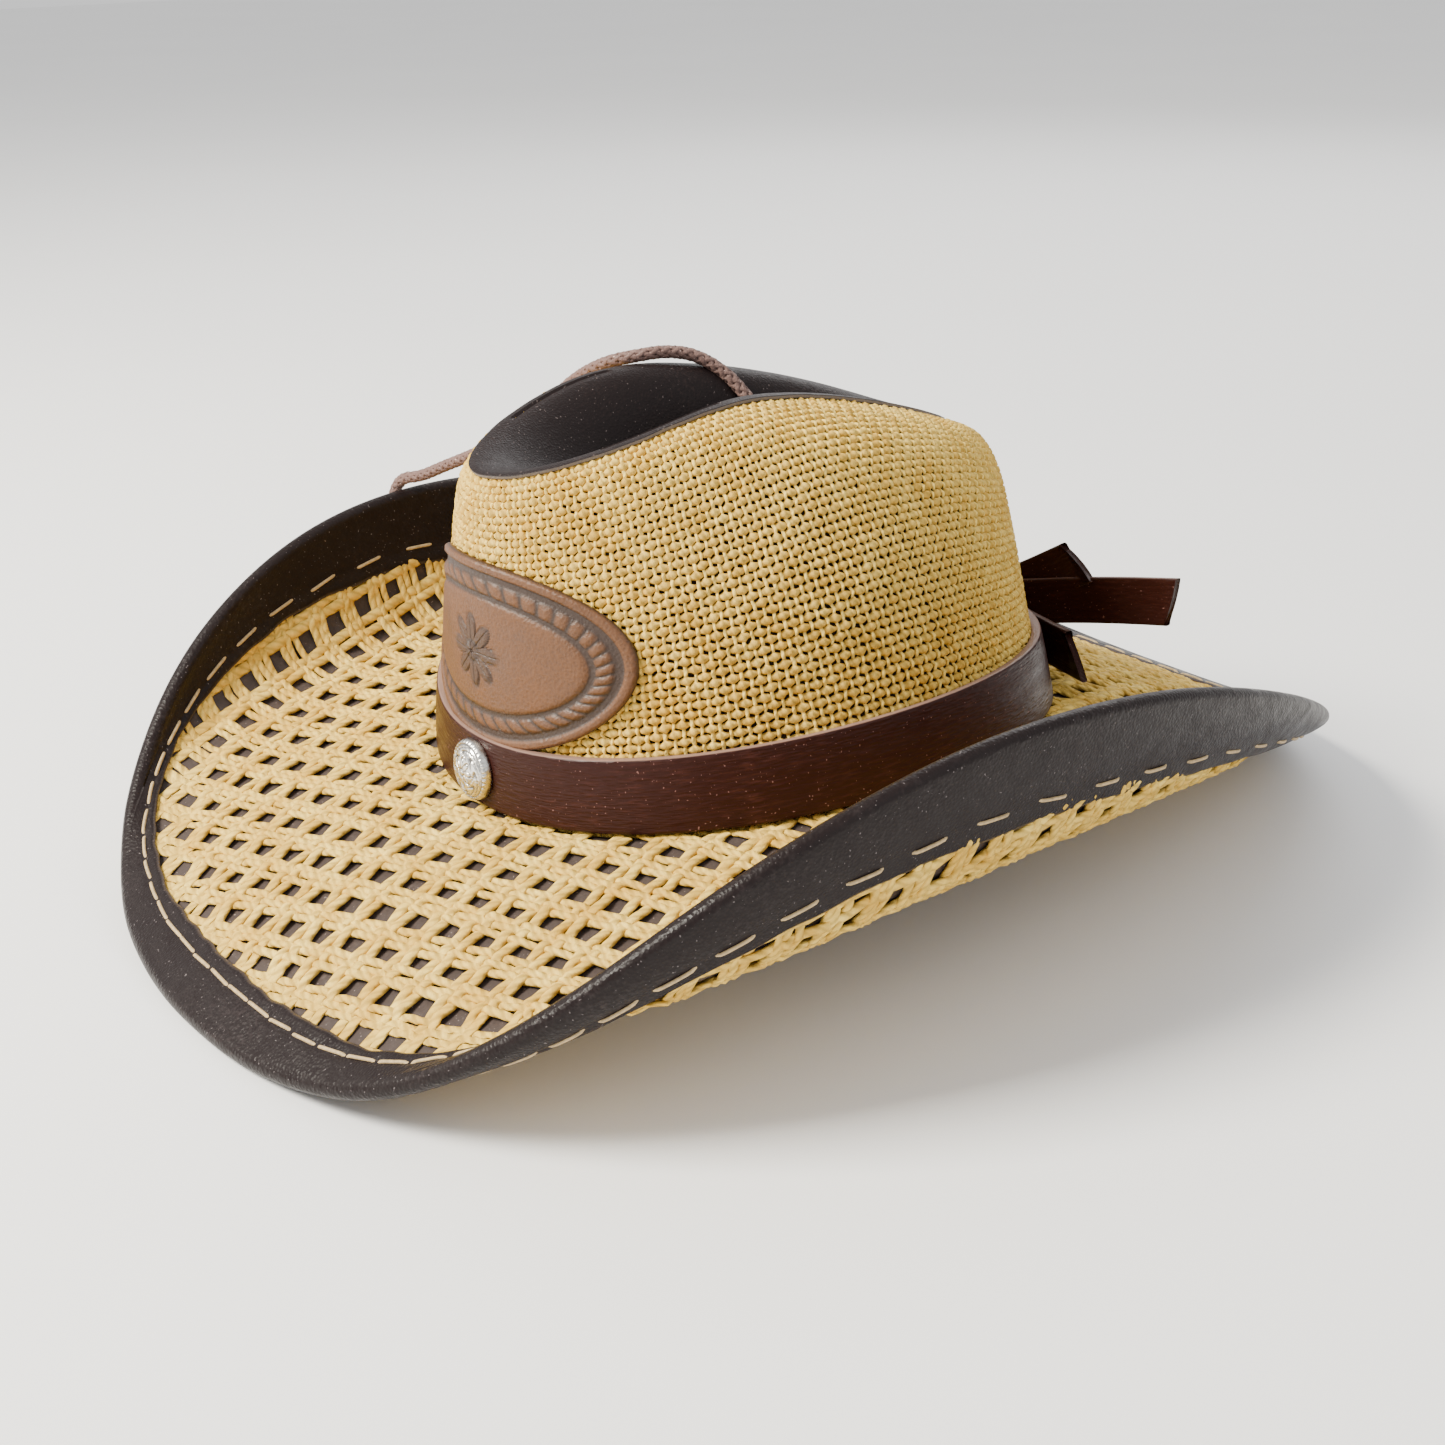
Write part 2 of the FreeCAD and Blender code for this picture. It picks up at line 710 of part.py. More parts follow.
def sweatband():
    """The leather band inside the head opening."""
    inside = SWEATBAND_OUTSIDE - SWEATBAND_THICKNESS
    heights = (SWEATBAND_HEIGHT / 2, SWEATBAND_HEIGHT)
    places = [crown_foot(SWEATBAND_OUTSIDE)]
    places += [lambda angle, h=h: on_wall(angle, h, SWEATBAND_OUTSIDE) for h in heights]
    places += [lambda angle, h=h: on_wall(angle, h, inside) for h in reversed(heights)]
    places.append(crown_foot(inside))
    return ring_solid(places)


def sweatband_stitches():
    """The thread that holds the sweatband, where it shows inside the head opening."""
    offset = SWEATBAND_OUTSIDE - SWEATBAND_THICKNESS - THREAD_CLEARANCE - THREAD_DIAMETER / 2
    pitch = 2 * math.pi / SWEATBAND_STITCH_COUNT
    half = SWEATBAND_STITCH_LENGTH / 2 / (HEAD_HALF_LENGTH + HEAD_HALF_WIDTH) * 2
    made = []
    for number in range(SWEATBAND_STITCH_COUNT):
        start = stood(on_wall(number * pitch - half, SWEATBAND_STITCH_HEIGHT, offset))
        end = stood(on_wall(number * pitch + half, SWEATBAND_STITCH_HEIGHT, offset))
        made.append(stitch(start, end, THREAD_DIAMETER / 2))
    return Part.makeCompound(made)


# ------------------------------------------------------------------ hat band
def band_place(height, offset):
    """A point on or in the hat band, at a height above its lower edge."""
    return lambda angle: on_wall(angle, BAND_SEAT + height, BAND_CLEARANCE + offset)


def band_section(low, high, inside, outside):
    middle = (low + high) / 2
    corners = [(low, inside), (low, outside), (middle, outside)]
    corners += [(high, outside), (high, inside), (middle, inside)]
    return ring_solid([band_place(height, offset) for height, offset in corners])


def stud_frame():
    """The middle of the stud on the band's outer face, and the direction it faces."""
    middle = stood(band_place(BAND_WIDTH / 2, BAND_THICKNESS)(0.0))
    inner = stood(band_place(BAND_WIDTH / 2, 0.0)(0.0))
    return middle, middle.sub(inner).normalize()


def hat_band():
    """The strap round the crown, bored for the stud's post and its washer."""
    band = band_section(0.0, BAND_WIDTH, 0.0, BAND_THICKNESS)
    middle, facing = stud_frame()
    back = middle.sub(facing * (BAND_THICKNESS + 1))
    bore = STUD_POST_DIAMETER / 2 + STUD_POST_CLEARANCE
    post_hole = Part.makeCylinder(bore, BAND_THICKNESS + 3, back, facing)
    pocket_depth = WASHER_THICKNESS + STUD_POST_CLEARANCE
    pocket_radius = WASHER_DIAMETER / 2 + STUD_POST_CLEARANCE
    pocket = Part.makeCylinder(pocket_radius, pocket_depth + 1, back, facing)
    return band.cut(post_hole).cut(pocket).Solids[0]


def stud():
    """The domed metal stud with its post."""
    middle, facing = stud_frame()
    seat = middle.add(facing * STUD_SEAT)
    radius = STUD_DIAMETER / 2
    dome_height = STUD_HEIGHT - STUD_RIM
    sphere = (radius ** 2 + dome_height ** 2) / (2 * dome_height)
    partway = radius * STUD_ARC_SHARE
    partway_height = STUD_HEIGHT - sphere + math.sqrt(sphere ** 2 - partway ** 2)
    profile = Part.Wire(
        [
            Part.makeLine(FreeCAD.Vector(0, 0, 0), FreeCAD.Vector(radius, 0, 0)),
            Part.makeLine(FreeCAD.Vector(radius, 0, 0), FreeCAD.Vector(radius, 0, STUD_RIM)),
            Part.Arc(
                FreeCAD.Vector(radius, 0, STUD_RIM),
                FreeCAD.Vector(partway, 0, partway_height),
                FreeCAD.Vector(0, 0, STUD_HEIGHT),
            ).toShape(),
            Part.makeLine(FreeCAD.Vector(0, 0, STUD_HEIGHT), FreeCAD.Vector(0, 0, 0)),
        ]
    )
    dome = Part.Face(profile).revolve(FreeCAD.Vector(0, 0, 0), FreeCAD.Vector(0, 0, 1), 360)
    post_length = BAND_THICKNESS + STUD_SEAT
    post = Part.makeCylinder(STUD_POST_DIAMETER / 2, post_length, FreeCAD.Vector(0, 0, -post_length))
    made = dome.fuse(post)
    turn = FreeCAD.Rotation(FreeCAD.Vector(0, 0, 1), facing)
    made.Placement = FreeCAD.Placement(seat, turn)
    return made


def stud_washer():
    """The washer on the stud's post, in its pocket at the back of the band."""
    middle, facing = stud_frame()
    back = middle.sub(facing * (BAND_THICKNESS - STUD_POST_CLEARANCE / 2))
    disc = Part.makeCylinder(WASHER_DIAMETER / 2, WASHER_THICKNESS, back, facing)
    bore = STUD_POST_DIAMETER / 2 + WASHER_CLEARANCE
    return disc.cut(Part.makeCylinder(bore, WASHER_THICKNESS * 3, back.sub(facing), facing))


def band_keeper():
    """The loop of strap that gathers the band at the back of the crown."""
    half = KEEPER_LENGTH / 2 / CROWN_HALF_WIDTH
    gap = KEEPER_CLEARANCE
    low = -gap - KEEPER_THICKNESS
    high = BAND_WIDTH + gap + KEEPER_THICKNESS
    outside = BAND_THICKNESS + gap + KEEPER_THICKNESS
    return band_patch(math.pi - half, math.pi + half, low, high, BAND_THICKNESS + gap, outside)


def band_patch(first, last, low, high, inside, outside):
    """A piece of strap that lies over the band between two angles."""
    columns = shares(first, last, 7)
    corners = [(low, inside), (low, outside), (high, outside), (high, inside)]
    rows = []
    for height, offset in corners:
        rows.append([band_place(height, offset)(angle) for angle in columns])
    wires = [open_wire(row) for row in rows]
    faces = []
    for number in range(4):
        faces += skin([wires[number], wires[(number + 1) % 4]])
    for end in (0, -1):
        inner = Part.makeLine(stood(rows[0][end]), stood(rows[3][end]))
        outer = Part.makeLine(stood(rows[1][end]), stood(rows[2][end]))
        faces.append(Part.makeRuledSurface(inner, outer))
    return closed_solid(faces)


def strap(route, width, thickness, slant):
    """A flat strap along a route of points in the hat's frame, on edge, with a slanted end."""
    sections = []
    for number, point in enumerate(route):
        before = route[max(number - 1, 0)]
        after = route[min(number + 1, len(route) - 1)]
        along = unit(less(after, before))
        side = unit(cross(along, (0.0, 0.0, 1.0)))
        up = cross(side, along)
        lean = slant if number == len(route) - 1 else 0.0
        corners = []
        for over, out in ((-1, -1), (-1, 1), (1, 1), (1, -1)):
            corner = add(add(point, up, over * width / 2), side, out * thickness / 2)
            corners.append(stood(add(corner, along, over * lean / 2)))
        sections.append(Part.makePolygon(corners + corners[:1]))
    return closed_solid(Part.makeLoft(sections, True, True).Faces)


def tail_route(layer, reach, rise, back, bow):
    """The middle line of a tail: out from the keeper, towards the wearer's left and up. Layer 0
    lies on the keeper and layer 1 on the other tail."""
    clear = TAIL_THICKNESS / 2 + TAIL_CLEARANCE + layer * (TAIL_THICKNESS + TAIL_CLEARANCE)
    offset = BAND_THICKNESS + KEEPER_CLEARANCE + KEEPER_THICKNESS
    start = add(band_place(BAND_WIDTH / 2, offset)(math.pi), (0.0, 1.0, 0.0), clear)
    route = []
    for share in shares(0.0, 1.0, 9):
        swing = bow * math.sin(share * math.pi) + back * share
        route.append(add(start, (reach * share, swing, rise * share)))
    return route


def band_tail_long():
    route = tail_route(0, LONG_TAIL_REACH, LONG_TAIL_RISE, LONG_TAIL_BACK, LONG_TAIL_BOW)
    return strap(route, TAIL_WIDTH, TAIL_THICKNESS, TAIL_SLANT)


def band_tail_short():
    route = tail_route(1, SHORT_TAIL_REACH, SHORT_TAIL_RISE, SHORT_TAIL_BACK, SHORT_TAIL_BOW)
    return strap(route, TAIL_WIDTH, TAIL_THICKNESS, -TAIL_SLANT)


def band_end():
    """The strap's short end, which hangs beside the band below the tails."""
    route = []
    for share in shares(0.0, 1.0, 7):
        angle = radians(END_FROM + (END_TO - END_FROM) * share)
        off = BAND_THICKNESS + END_CLEARANCE + TAIL_THICKNESS / 2 + END_STAND_OFF * share ** 2
        route.append(band_place(BAND_WIDTH / 2 - END_DROP * share, off)(angle))
    return strap(route, END_WIDTH, TAIL_THICKNESS, END_SLANT)


# ------------------------------------------------------------------ chin lace
def tab_top():
    """The middle of the top of the lace's tab, just under the sweatband."""
    return add(crown_foot(SWEATBAND_OUTSIDE)(radians(LACE_ANGLE)), (0.0, 0.0, -LACE_TAB_GAP))


def lace_tab():
    corner = add(tab_top(), (-LACE_TAB_THICKNESS / 2, -LACE_TAB_WIDTH / 2, -LACE_TAB_HEIGHT))
    box = Part.makeBox(
        LACE_TAB_THICKNESS, LACE_TAB_WIDTH, LACE_TAB_HEIGHT, FreeCAD.Vector(*corner)
    )
    box.rotate(FreeCAD.Vector(0, 0, 0), FreeCAD.Vector(1, 0, 0), TILT * 180 / math.pi)
    box.translate(FreeCAD.Vector(0, SHIFT, LIFT))
    return box.makeFillet(LACE_TAB_ROUND, box.Edges)


def lace_points():
    """The lace's route: out of its tab, under and round the brim, and over the crown."""
    tab = tab_top()
    start = add(tab, (-LACE_TAB_THICKNESS / 2, 0.0, -LACE_TAB_HEIGHT + LACE_DIAMETER))
    return [stood(point) for point in [start] + LACE_ROUTE]


def lace_wire():
    """Straight runs joined by tangent arcs; prints each bend's radius."""
    points = lace_points()
    edges = []
    last = points[0]
    radii = []
    for before, corner, after in zip(points, points[1:], points[2:]):
        back = before.sub(corner)
        ahead = after.sub(corner)
        trim = LACE_ARC_SHARE * min(back.Length, ahead.Length)
        half_turn = (math.pi - back.getAngle(ahead)) / 2
        radii.append(trim / math.tan(half_turn))
        first = corner.add(FreeCAD.Vector(back).normalize() * trim)
        second = corner.add(FreeCAD.Vector(ahead).normalize() * trim)
        bisector = FreeCAD.Vector(back).normalize().add(FreeCAD.Vector(ahead).normalize())
        bisector.normalize()
        depth = radii[-1] / math.cos(half_turn) - radii[-1]
        middle = corner.add(bisector * depth)
        edges.append(Part.makeLine(last, first))
        edges.append(Part.Arc(first, middle, second).toShape())
        last = second
    edges.append(Part.makeLine(last, points[-1]))
    print("lace bend radii", [round(radius, 1) for radius in radii])
    return Part.Wire(edges)


def chin_lace():
    wire = lace_wire()
    points = lace_points()
    facing = points[1].sub(points[0])
    section = Part.Wire([Part.makeCircle(LACE_DIAMETER / 2, points[0], facing)])
    tube = wire.makePipeShell([section], True, True)
    expected = wire.Length * math.pi * LACE_DIAMETER ** 2 / 4
    print("lace length", round(wire.Length, 1), "volume ratio", round(tube.Volume / expected, 4))
    return tube


def lace_knot():
    """The knot that finishes the lace."""
    points = lace_points()
    facing = points[-1].sub(points[-2]).normalize()
    flat = LACE_DIAMETER / 2 + LACE_KNOT_SHOULDER
    bulge = LACE_KNOT_DIAMETER / 2
    half = LACE_KNOT_LENGTH / 2
    profile = Part.Wire(
        [
            Part.makeLine(FreeCAD.Vector(0, 0, 0), FreeCAD.Vector(flat, 0, 0)),
            Part.Arc(
                FreeCAD.Vector(flat, 0, 0),
                FreeCAD.Vector(bulge, 0, half),
                FreeCAD.Vector(flat, 0, 2 * half),
            ).toShape(),
            Part.makeLine(FreeCAD.Vector(flat, 0, 2 * half), FreeCAD.Vector(0, 0, 2 * half)),
            Part.makeLine(FreeCAD.Vector(0, 0, 2 * half), FreeCAD.Vector(0, 0, 0)),
        ]
    )
    knot = Part.Face(profile).revolve(FreeCAD.Vector(0, 0, 0), FreeCAD.Vector(0, 0, 1), 360)
    turn = FreeCAD.Rotation(FreeCAD.Vector(0, 0, 1), facing)
    knot.Placement = FreeCAD.Placement(points[-1], turn)
    return knot


PIECES = {
    "crown_weave": crown_weave,
    "crown_lining": crown_lining,
    "crown_top_leather": crown_top_leather,
    "crown_badge": crown_badge,
    "brim_upper_weave": brim_upper_weave,
    "brim_core": brim_core,
    "brim_lower_weave": brim_lower_weave,
    "rim_wire": rim_wire,
    "rim_binding": rim_binding,
    "binding_stitches_upper": lambda: binding_stitches(1),
    "binding_stitches_lower": lambda: binding_stitches(-1),
    "sweatband": sweatband,
    "sweatband_stitches": sweatband_stitches,
    "hat_band": hat_band,
    "stud": stud,
    "stud_washer": stud_washer,
    "band_keeper": band_keeper,
    "band_tail_long": band_tail_long,
    "band_tail_short": band_tail_short,
    "band_end": band_end,
    "lace_tab": lace_tab,
    "chin_lace": chin_lace,
    "lace_knot": lace_knot,
}

os.makedirs("parts", exist_ok=True)
for name, build in PIECES.items():
    shape = build()
    print(name, len(shape.Solids), "valid" if shape.isValid() else "NOT VALID", round(shape.Volume))
    shape.exportStep("parts/" + name + ".step")
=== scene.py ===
import math

import bpy
import numpy as np
from bpy.props import FloatProperty, FloatVectorProperty, IntProperty, PointerProperty
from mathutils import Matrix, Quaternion, Vector


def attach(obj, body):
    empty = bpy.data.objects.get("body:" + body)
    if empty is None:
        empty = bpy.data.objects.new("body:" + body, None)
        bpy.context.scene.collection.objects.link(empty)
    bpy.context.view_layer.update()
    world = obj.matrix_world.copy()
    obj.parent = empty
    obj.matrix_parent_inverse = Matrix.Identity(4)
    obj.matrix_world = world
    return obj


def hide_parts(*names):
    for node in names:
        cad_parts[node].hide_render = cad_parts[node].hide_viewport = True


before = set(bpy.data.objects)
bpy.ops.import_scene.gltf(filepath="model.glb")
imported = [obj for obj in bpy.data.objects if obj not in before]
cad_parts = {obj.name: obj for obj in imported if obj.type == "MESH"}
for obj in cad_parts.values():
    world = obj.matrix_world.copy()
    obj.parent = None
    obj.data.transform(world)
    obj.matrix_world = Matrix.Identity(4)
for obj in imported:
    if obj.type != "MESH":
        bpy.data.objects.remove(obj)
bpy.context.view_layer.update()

bl_info = {
    "name": "Woven western hat",
    "version": (1, 0, 0),
    "blender": (4, 5, 0),
    "location": "View3D > Sidebar > Hat",
    "description": "Makes a woven hat with a leather-bound brim, a strap, a tooled badge and a lace",
    "category": "Add Mesh",
}

MM = 0.001
UP = np.array([0.0, 0.0, 1.0])
TAU = 2 * math.pi

# ---------------------------------------------------------------- the hat's shape, in metres
# The hat is drawn in its own frame, with the origin in the middle of the head opening, in the
# plane of the seam between crown and brim. Turn goes round it from the front, 0, by the wearer's
# left, a quarter, to the back. Stations are values at 0, 45, 90, 135 and 180 degrees.
HALF_LENGTH = 98.4 * MM
HALF_WIDTH = 95.2 * MM
SADDLE = 9.4 * MM
CREST_X = MM * np.array([28.5, 28.1, 20.5])
CREST_Y = MM * np.array([-89.7, -55.0, -8.8, 48.6, 75.7])
CREST_Z = MM * np.array([93.5, 101.9, 105.8, 90.2, 77.1])
LEAN = (0.08, 0.23, 0.18)  # front, side and back
BELLY = (50.2 * MM, 51.0 * MM, 58.3 * MM)
SHOULDER = (10.2 * MM, 35.6 * MM, 35.8 * MM)
DENT_HALF_WIDTH = 12.0 * MM
DENT_HALF_LENGTH = 44.0 * MM
DENT_MIDDLE_Y = -8.0 * MM
DENT_MIDDLE_Z = 72.0 * MM
DENT_SLOPE = 0.16
DENT_LIP = 9.0 * MM
DENT_BOWL = 0.12
DENT_BOWL_REACH = 3.0 * MM
PINCH_DEPTH = 4.5 * MM
PINCH_TURN = math.radians(58.0)
PINCH_SPREAD = math.radians(24.0)
PINCH_SHARE = 0.62
PINCH_TALLNESS = 0.24
BRIM_OUT_X = MM * np.array([38.0, 60.6, 42.8])
BRIM_OUT_Y = MM * np.array([-99.5, -99.6, -37.5, 84.6, 113.0])
EDGE_Z = MM * np.array([-41.2, -20.7, 41.3, -18.4, -54.1])
ROOT_REACH = 0.4
ROOT_DROP = (4.7 * MM, 8.7 * MM, 8.6 * MM)
CURL_REACH = (0.74, 0.95, 0.957, 0.85, 0.75)
CURL_RISE = MM * np.array([15.0, -5.3, -57.4, -15.5, 10.3])
CORE_HALF = 0.4 * MM
RIM_INNER = 1.9 * MM
RIM_OUTER = 2.9 * MM
BAND_SEAT = 2.2 * MM
BAND_CLEARANCE = 0.2 * MM

# The chin lace's route, from its tab, under and round the brim, and over the crown.
LACE_ROUTE = [
    (-0.0945, 0.0033, -0.0115),
    (-0.1080, -0.0030, -0.0150),
    (-0.1220, -0.0100, -0.0185),
    (-0.1370, -0.0180, -0.0185),
    (-0.1500, -0.0260, -0.0130),
    (-0.1600, -0.0310, -0.0020),
    (-0.1650, -0.0350, 0.0120),
    (-0.1665, -0.0375, 0.0260),
    (-0.1650, -0.0380, 0.0380),
    (-0.1580, -0.0372, 0.0482),
    (-0.1480, -0.0340, 0.0500),
    (-0.1360, -0.0308, 0.0556),
    (-0.1190, -0.0275, 0.0627),
    (-0.1000, -0.0250, 0.0715),
    (-0.0860, -0.0245, 0.0792),
    (-0.0700, -0.0238, 0.0895),
    (-0.0550, -0.0230, 0.1003),
    (-0.0400, -0.0200, 0.1080),
    (-0.0310, -0.0120, 0.1103),
    (-0.0295, -0.0035, 0.1103),
    (-0.0260, 0.0055, 0.1082),
    (-0.0205, 0.0130, 0.1020),
    (-0.0145, 0.0175, 0.0935),
    (-0.0090, 0.0200, 0.0850),
    (-0.0050, 0.0208, 0.0795),
]


def vec(x, y, z):
    return np.stack(np.broadcast_arrays(x, y, z), -1).astype(float)


def unit(v):
    return v / np.maximum(np.linalg.norm(v, axis=-1, keepdims=True), 1e-12)


def even(turn, stations):
    """The cosine series, orders 0 to 4, through five stations: the same left and right."""
    order = np.arange(5)
    weight = np.where(order % 4 == 0, 0.5, 1.0)
    waves = np.cos(np.outer(order, order) * math.pi / 4)
    heights = weight * (waves @ (weight * np.asarray(stations, float))) / 2
    return np.cos(np.asarray(turn, float)[..., None] * order) @ heights


def odd(turn, stations):
    """The sine series, orders 1 to 3, through the three side stations; nought at 0 and 180."""
    order = np.arange(1, 4)
    heights = np.sin(np.outer(order, order) * math.pi / 4) @ np.asarray(stations, float) / 2
    return np.sin(np.asarray(turn, float)[..., None] * order) @ heights


def three(turn, values):
    """The cosine series through a front, a side and a back value."""
    front, side, back = values
    return even(turn, (front, (front + side) / 2, side, (side + back) / 2, back))


def bezier(points, share):
    """Repeated blending of the points: a Bezier curve at share."""
    share = np.asarray(share, float)[..., None]
    while len(points) > 1:
        points = [a + (b - a) * share for a, b in zip(points, points[1:])]
    return points[0]


def seam(turn):
    """An ellipse, x = W sin t and y = -L cos t, that dips by S cos^2 t."""
    return vec(
        HALF_WIDTH * np.sin(turn), -HALF_LENGTH * np.cos(turn), -SADDLE * np.cos(turn) ** 2
    )


def crest(turn):
    return vec(odd(turn, CREST_X), even(turn, CREST_Y), even(turn, CREST_Z))


def dent_floor(turn):
    """A tilted flat oval."""
    y = DENT_MIDDLE_Y - DENT_HALF_LENGTH * np.cos(turn)
    z = DENT_MIDDLE_Z - DENT_SLOPE * (y - DENT_MIDDLE_Y)
    return vec(DENT_HALF_WIDTH * np.sin(turn), y, z)


def crown(turn, share):
    """The crown's outside. For each turn, a Bezier curve from the seam up a leaning wall and
    round the shoulder to the crest, share 0 to 1, then one down to the dent's floor, share 1
    to 2. The wall is pinched in by two Gaussian hollows in its front quarters."""
    turn, share = np.broadcast_arrays(turn, share)
    foot, top, floor = seam(turn), crest(turn), dent_floor(turn)
    out = unit((foot - top) * np.array([1.0, 1.0, 0.0]))
    height = three(turn, BELLY)[..., None]
    belly = foot - out * three(turn, LEAN)[..., None] * height + UP * height
    shoulder = top + out * three(turn, SHOULDER)[..., None]
    wall = bezier([foot, belly, shoulder, top], np.clip(share, 0, 1))
    away = np.abs((turn + math.pi) % TAU - math.pi) - PINCH_TURN
    rise = (share - PINCH_SHARE) / PINCH_TALLNESS
    wall = wall - out * (PINCH_DEPTH * np.exp(-((away / PINCH_SPREAD) ** 2) - rise**2))[..., None]
    slope = floor + UP * DENT_BOWL * (top - floor)[..., 2:] + out * DENT_BOWL_REACH
    dent = bezier([top, top - out * DENT_LIP, slope, floor], np.clip(share - 1, 0, 1))
    return np.where(share[..., None] <= 1, wall, dent)


def crown_normal(turn, share):
    """The cross product of the crown's two directions, by central differences."""
    step = 0.002
    turn, share = np.broadcast_arrays(np.asarray(turn, float), np.asarray(share, float))
    round_it = crown(turn + step, share) - crown(turn - step, share)
    up_it = crown(turn, np.minimum(share + step, 2)) - crown(turn, np.maximum(share - step, 0))
    return unit(np.cross(round_it, up_it))


def brim_edge(turn):
    """The line of the rim wire: the seam plus a reach across and along, at a height."""
    foot = seam(turn)
    return vec(
        foot[..., 0] + odd(turn, BRIM_OUT_X),
        foot[..., 1] + even(turn, BRIM_OUT_Y),
        even(turn, EDGE_Z),
    )


def brim(turn, share):
    """The brim's middle: for each turn, a cubic Bezier curve from the seam to the rim wire."""
    turn, share = np.broadcast_arrays(turn, share)
    foot, edge = seam(turn), brim_edge(turn)
    root = foot + (edge - foot) * ROOT_REACH
    root[..., 2] = foot[..., 2] - three(turn, ROOT_DROP)
    curl = foot + (edge - foot) * even(turn, CURL_REACH)[..., None]
    curl[..., 2] = edge[..., 2] + even(turn, CURL_RISE)
    return bezier([foot, root, curl, edge], share)


def brim_frame(turn, share):
    """The brim's outward direction and its upper normal, by central differences."""
    step = 0.002
    out = unit(brim(turn, share + step) - brim(turn, share - step))
    return out, unit(np.cross(out, brim(turn + step, share) - brim(turn - step, share)))


def brim_lengths(turn):
    """Running length of the brim's profile at 25 equal steps of share, from the seam out."""
    marks = brim(np.asarray(turn, float)[..., None], np.linspace(0, 1, 25))
    steps = np.linalg.norm(np.diff(marks, axis=-2), axis=-1)
    return np.concatenate([np.zeros(steps.shape[:-1] + (1,)), np.cumsum(steps, -1)], -1)


def over_brim(turn, from_edge, height):
    """A point a distance in from the rim wire and a height over the brim's middle."""
    turn, from_edge, height = np.broadcast_arrays(turn, from_edge, height)
    share = 1 - from_edge / brim_lengths(turn)[..., -1]
    return brim(turn, share) + brim_frame(turn, share)[1] * height[..., None]


def on_wall(turn, height, offset):
    """A point off the crown's wall, at a height above the seam, by halving the share."""
    turn, height, offset = np.broadcast_arrays(turn, height, offset)
    low, high = np.zeros(turn.shape), np.ones(turn.shape)
    foot = seam(turn)[..., 2]
    for _ in range(20):
        middle = (low + high) / 2
        under = crown(turn, middle)[..., 2] - foot < height
        low, high = np.where(under, middle, low), np.where(under, high, middle)
    return crown(turn, low) + crown_normal(turn, low) * offset[..., None]


FRONT, BACK = brim_edge(0.0), brim_edge(math.pi)
TILT = math.atan2(FRONT[2] - BACK[2], BACK[1] - FRONT[1])
TURN_X = np.array(
    [
        [1, 0, 0],
        [0, math.cos(TILT), -math.sin(TILT)],
        [0, math.sin(TILT), math.cos(TILT)],
    ]
)
PLACE = np.array(
    [0, -((TURN_X @ FRONT)[1] + (TURN_X @ BACK)[1]) / 2, RIM_OUTER - (TURN_X @ FRONT)[2]]
)


def stood(points):
    """The hat's points, tilted and lifted so that the rim's front and back rest on the floor."""
    return np.asarray(points, float) @ TURN_X.T + PLACE


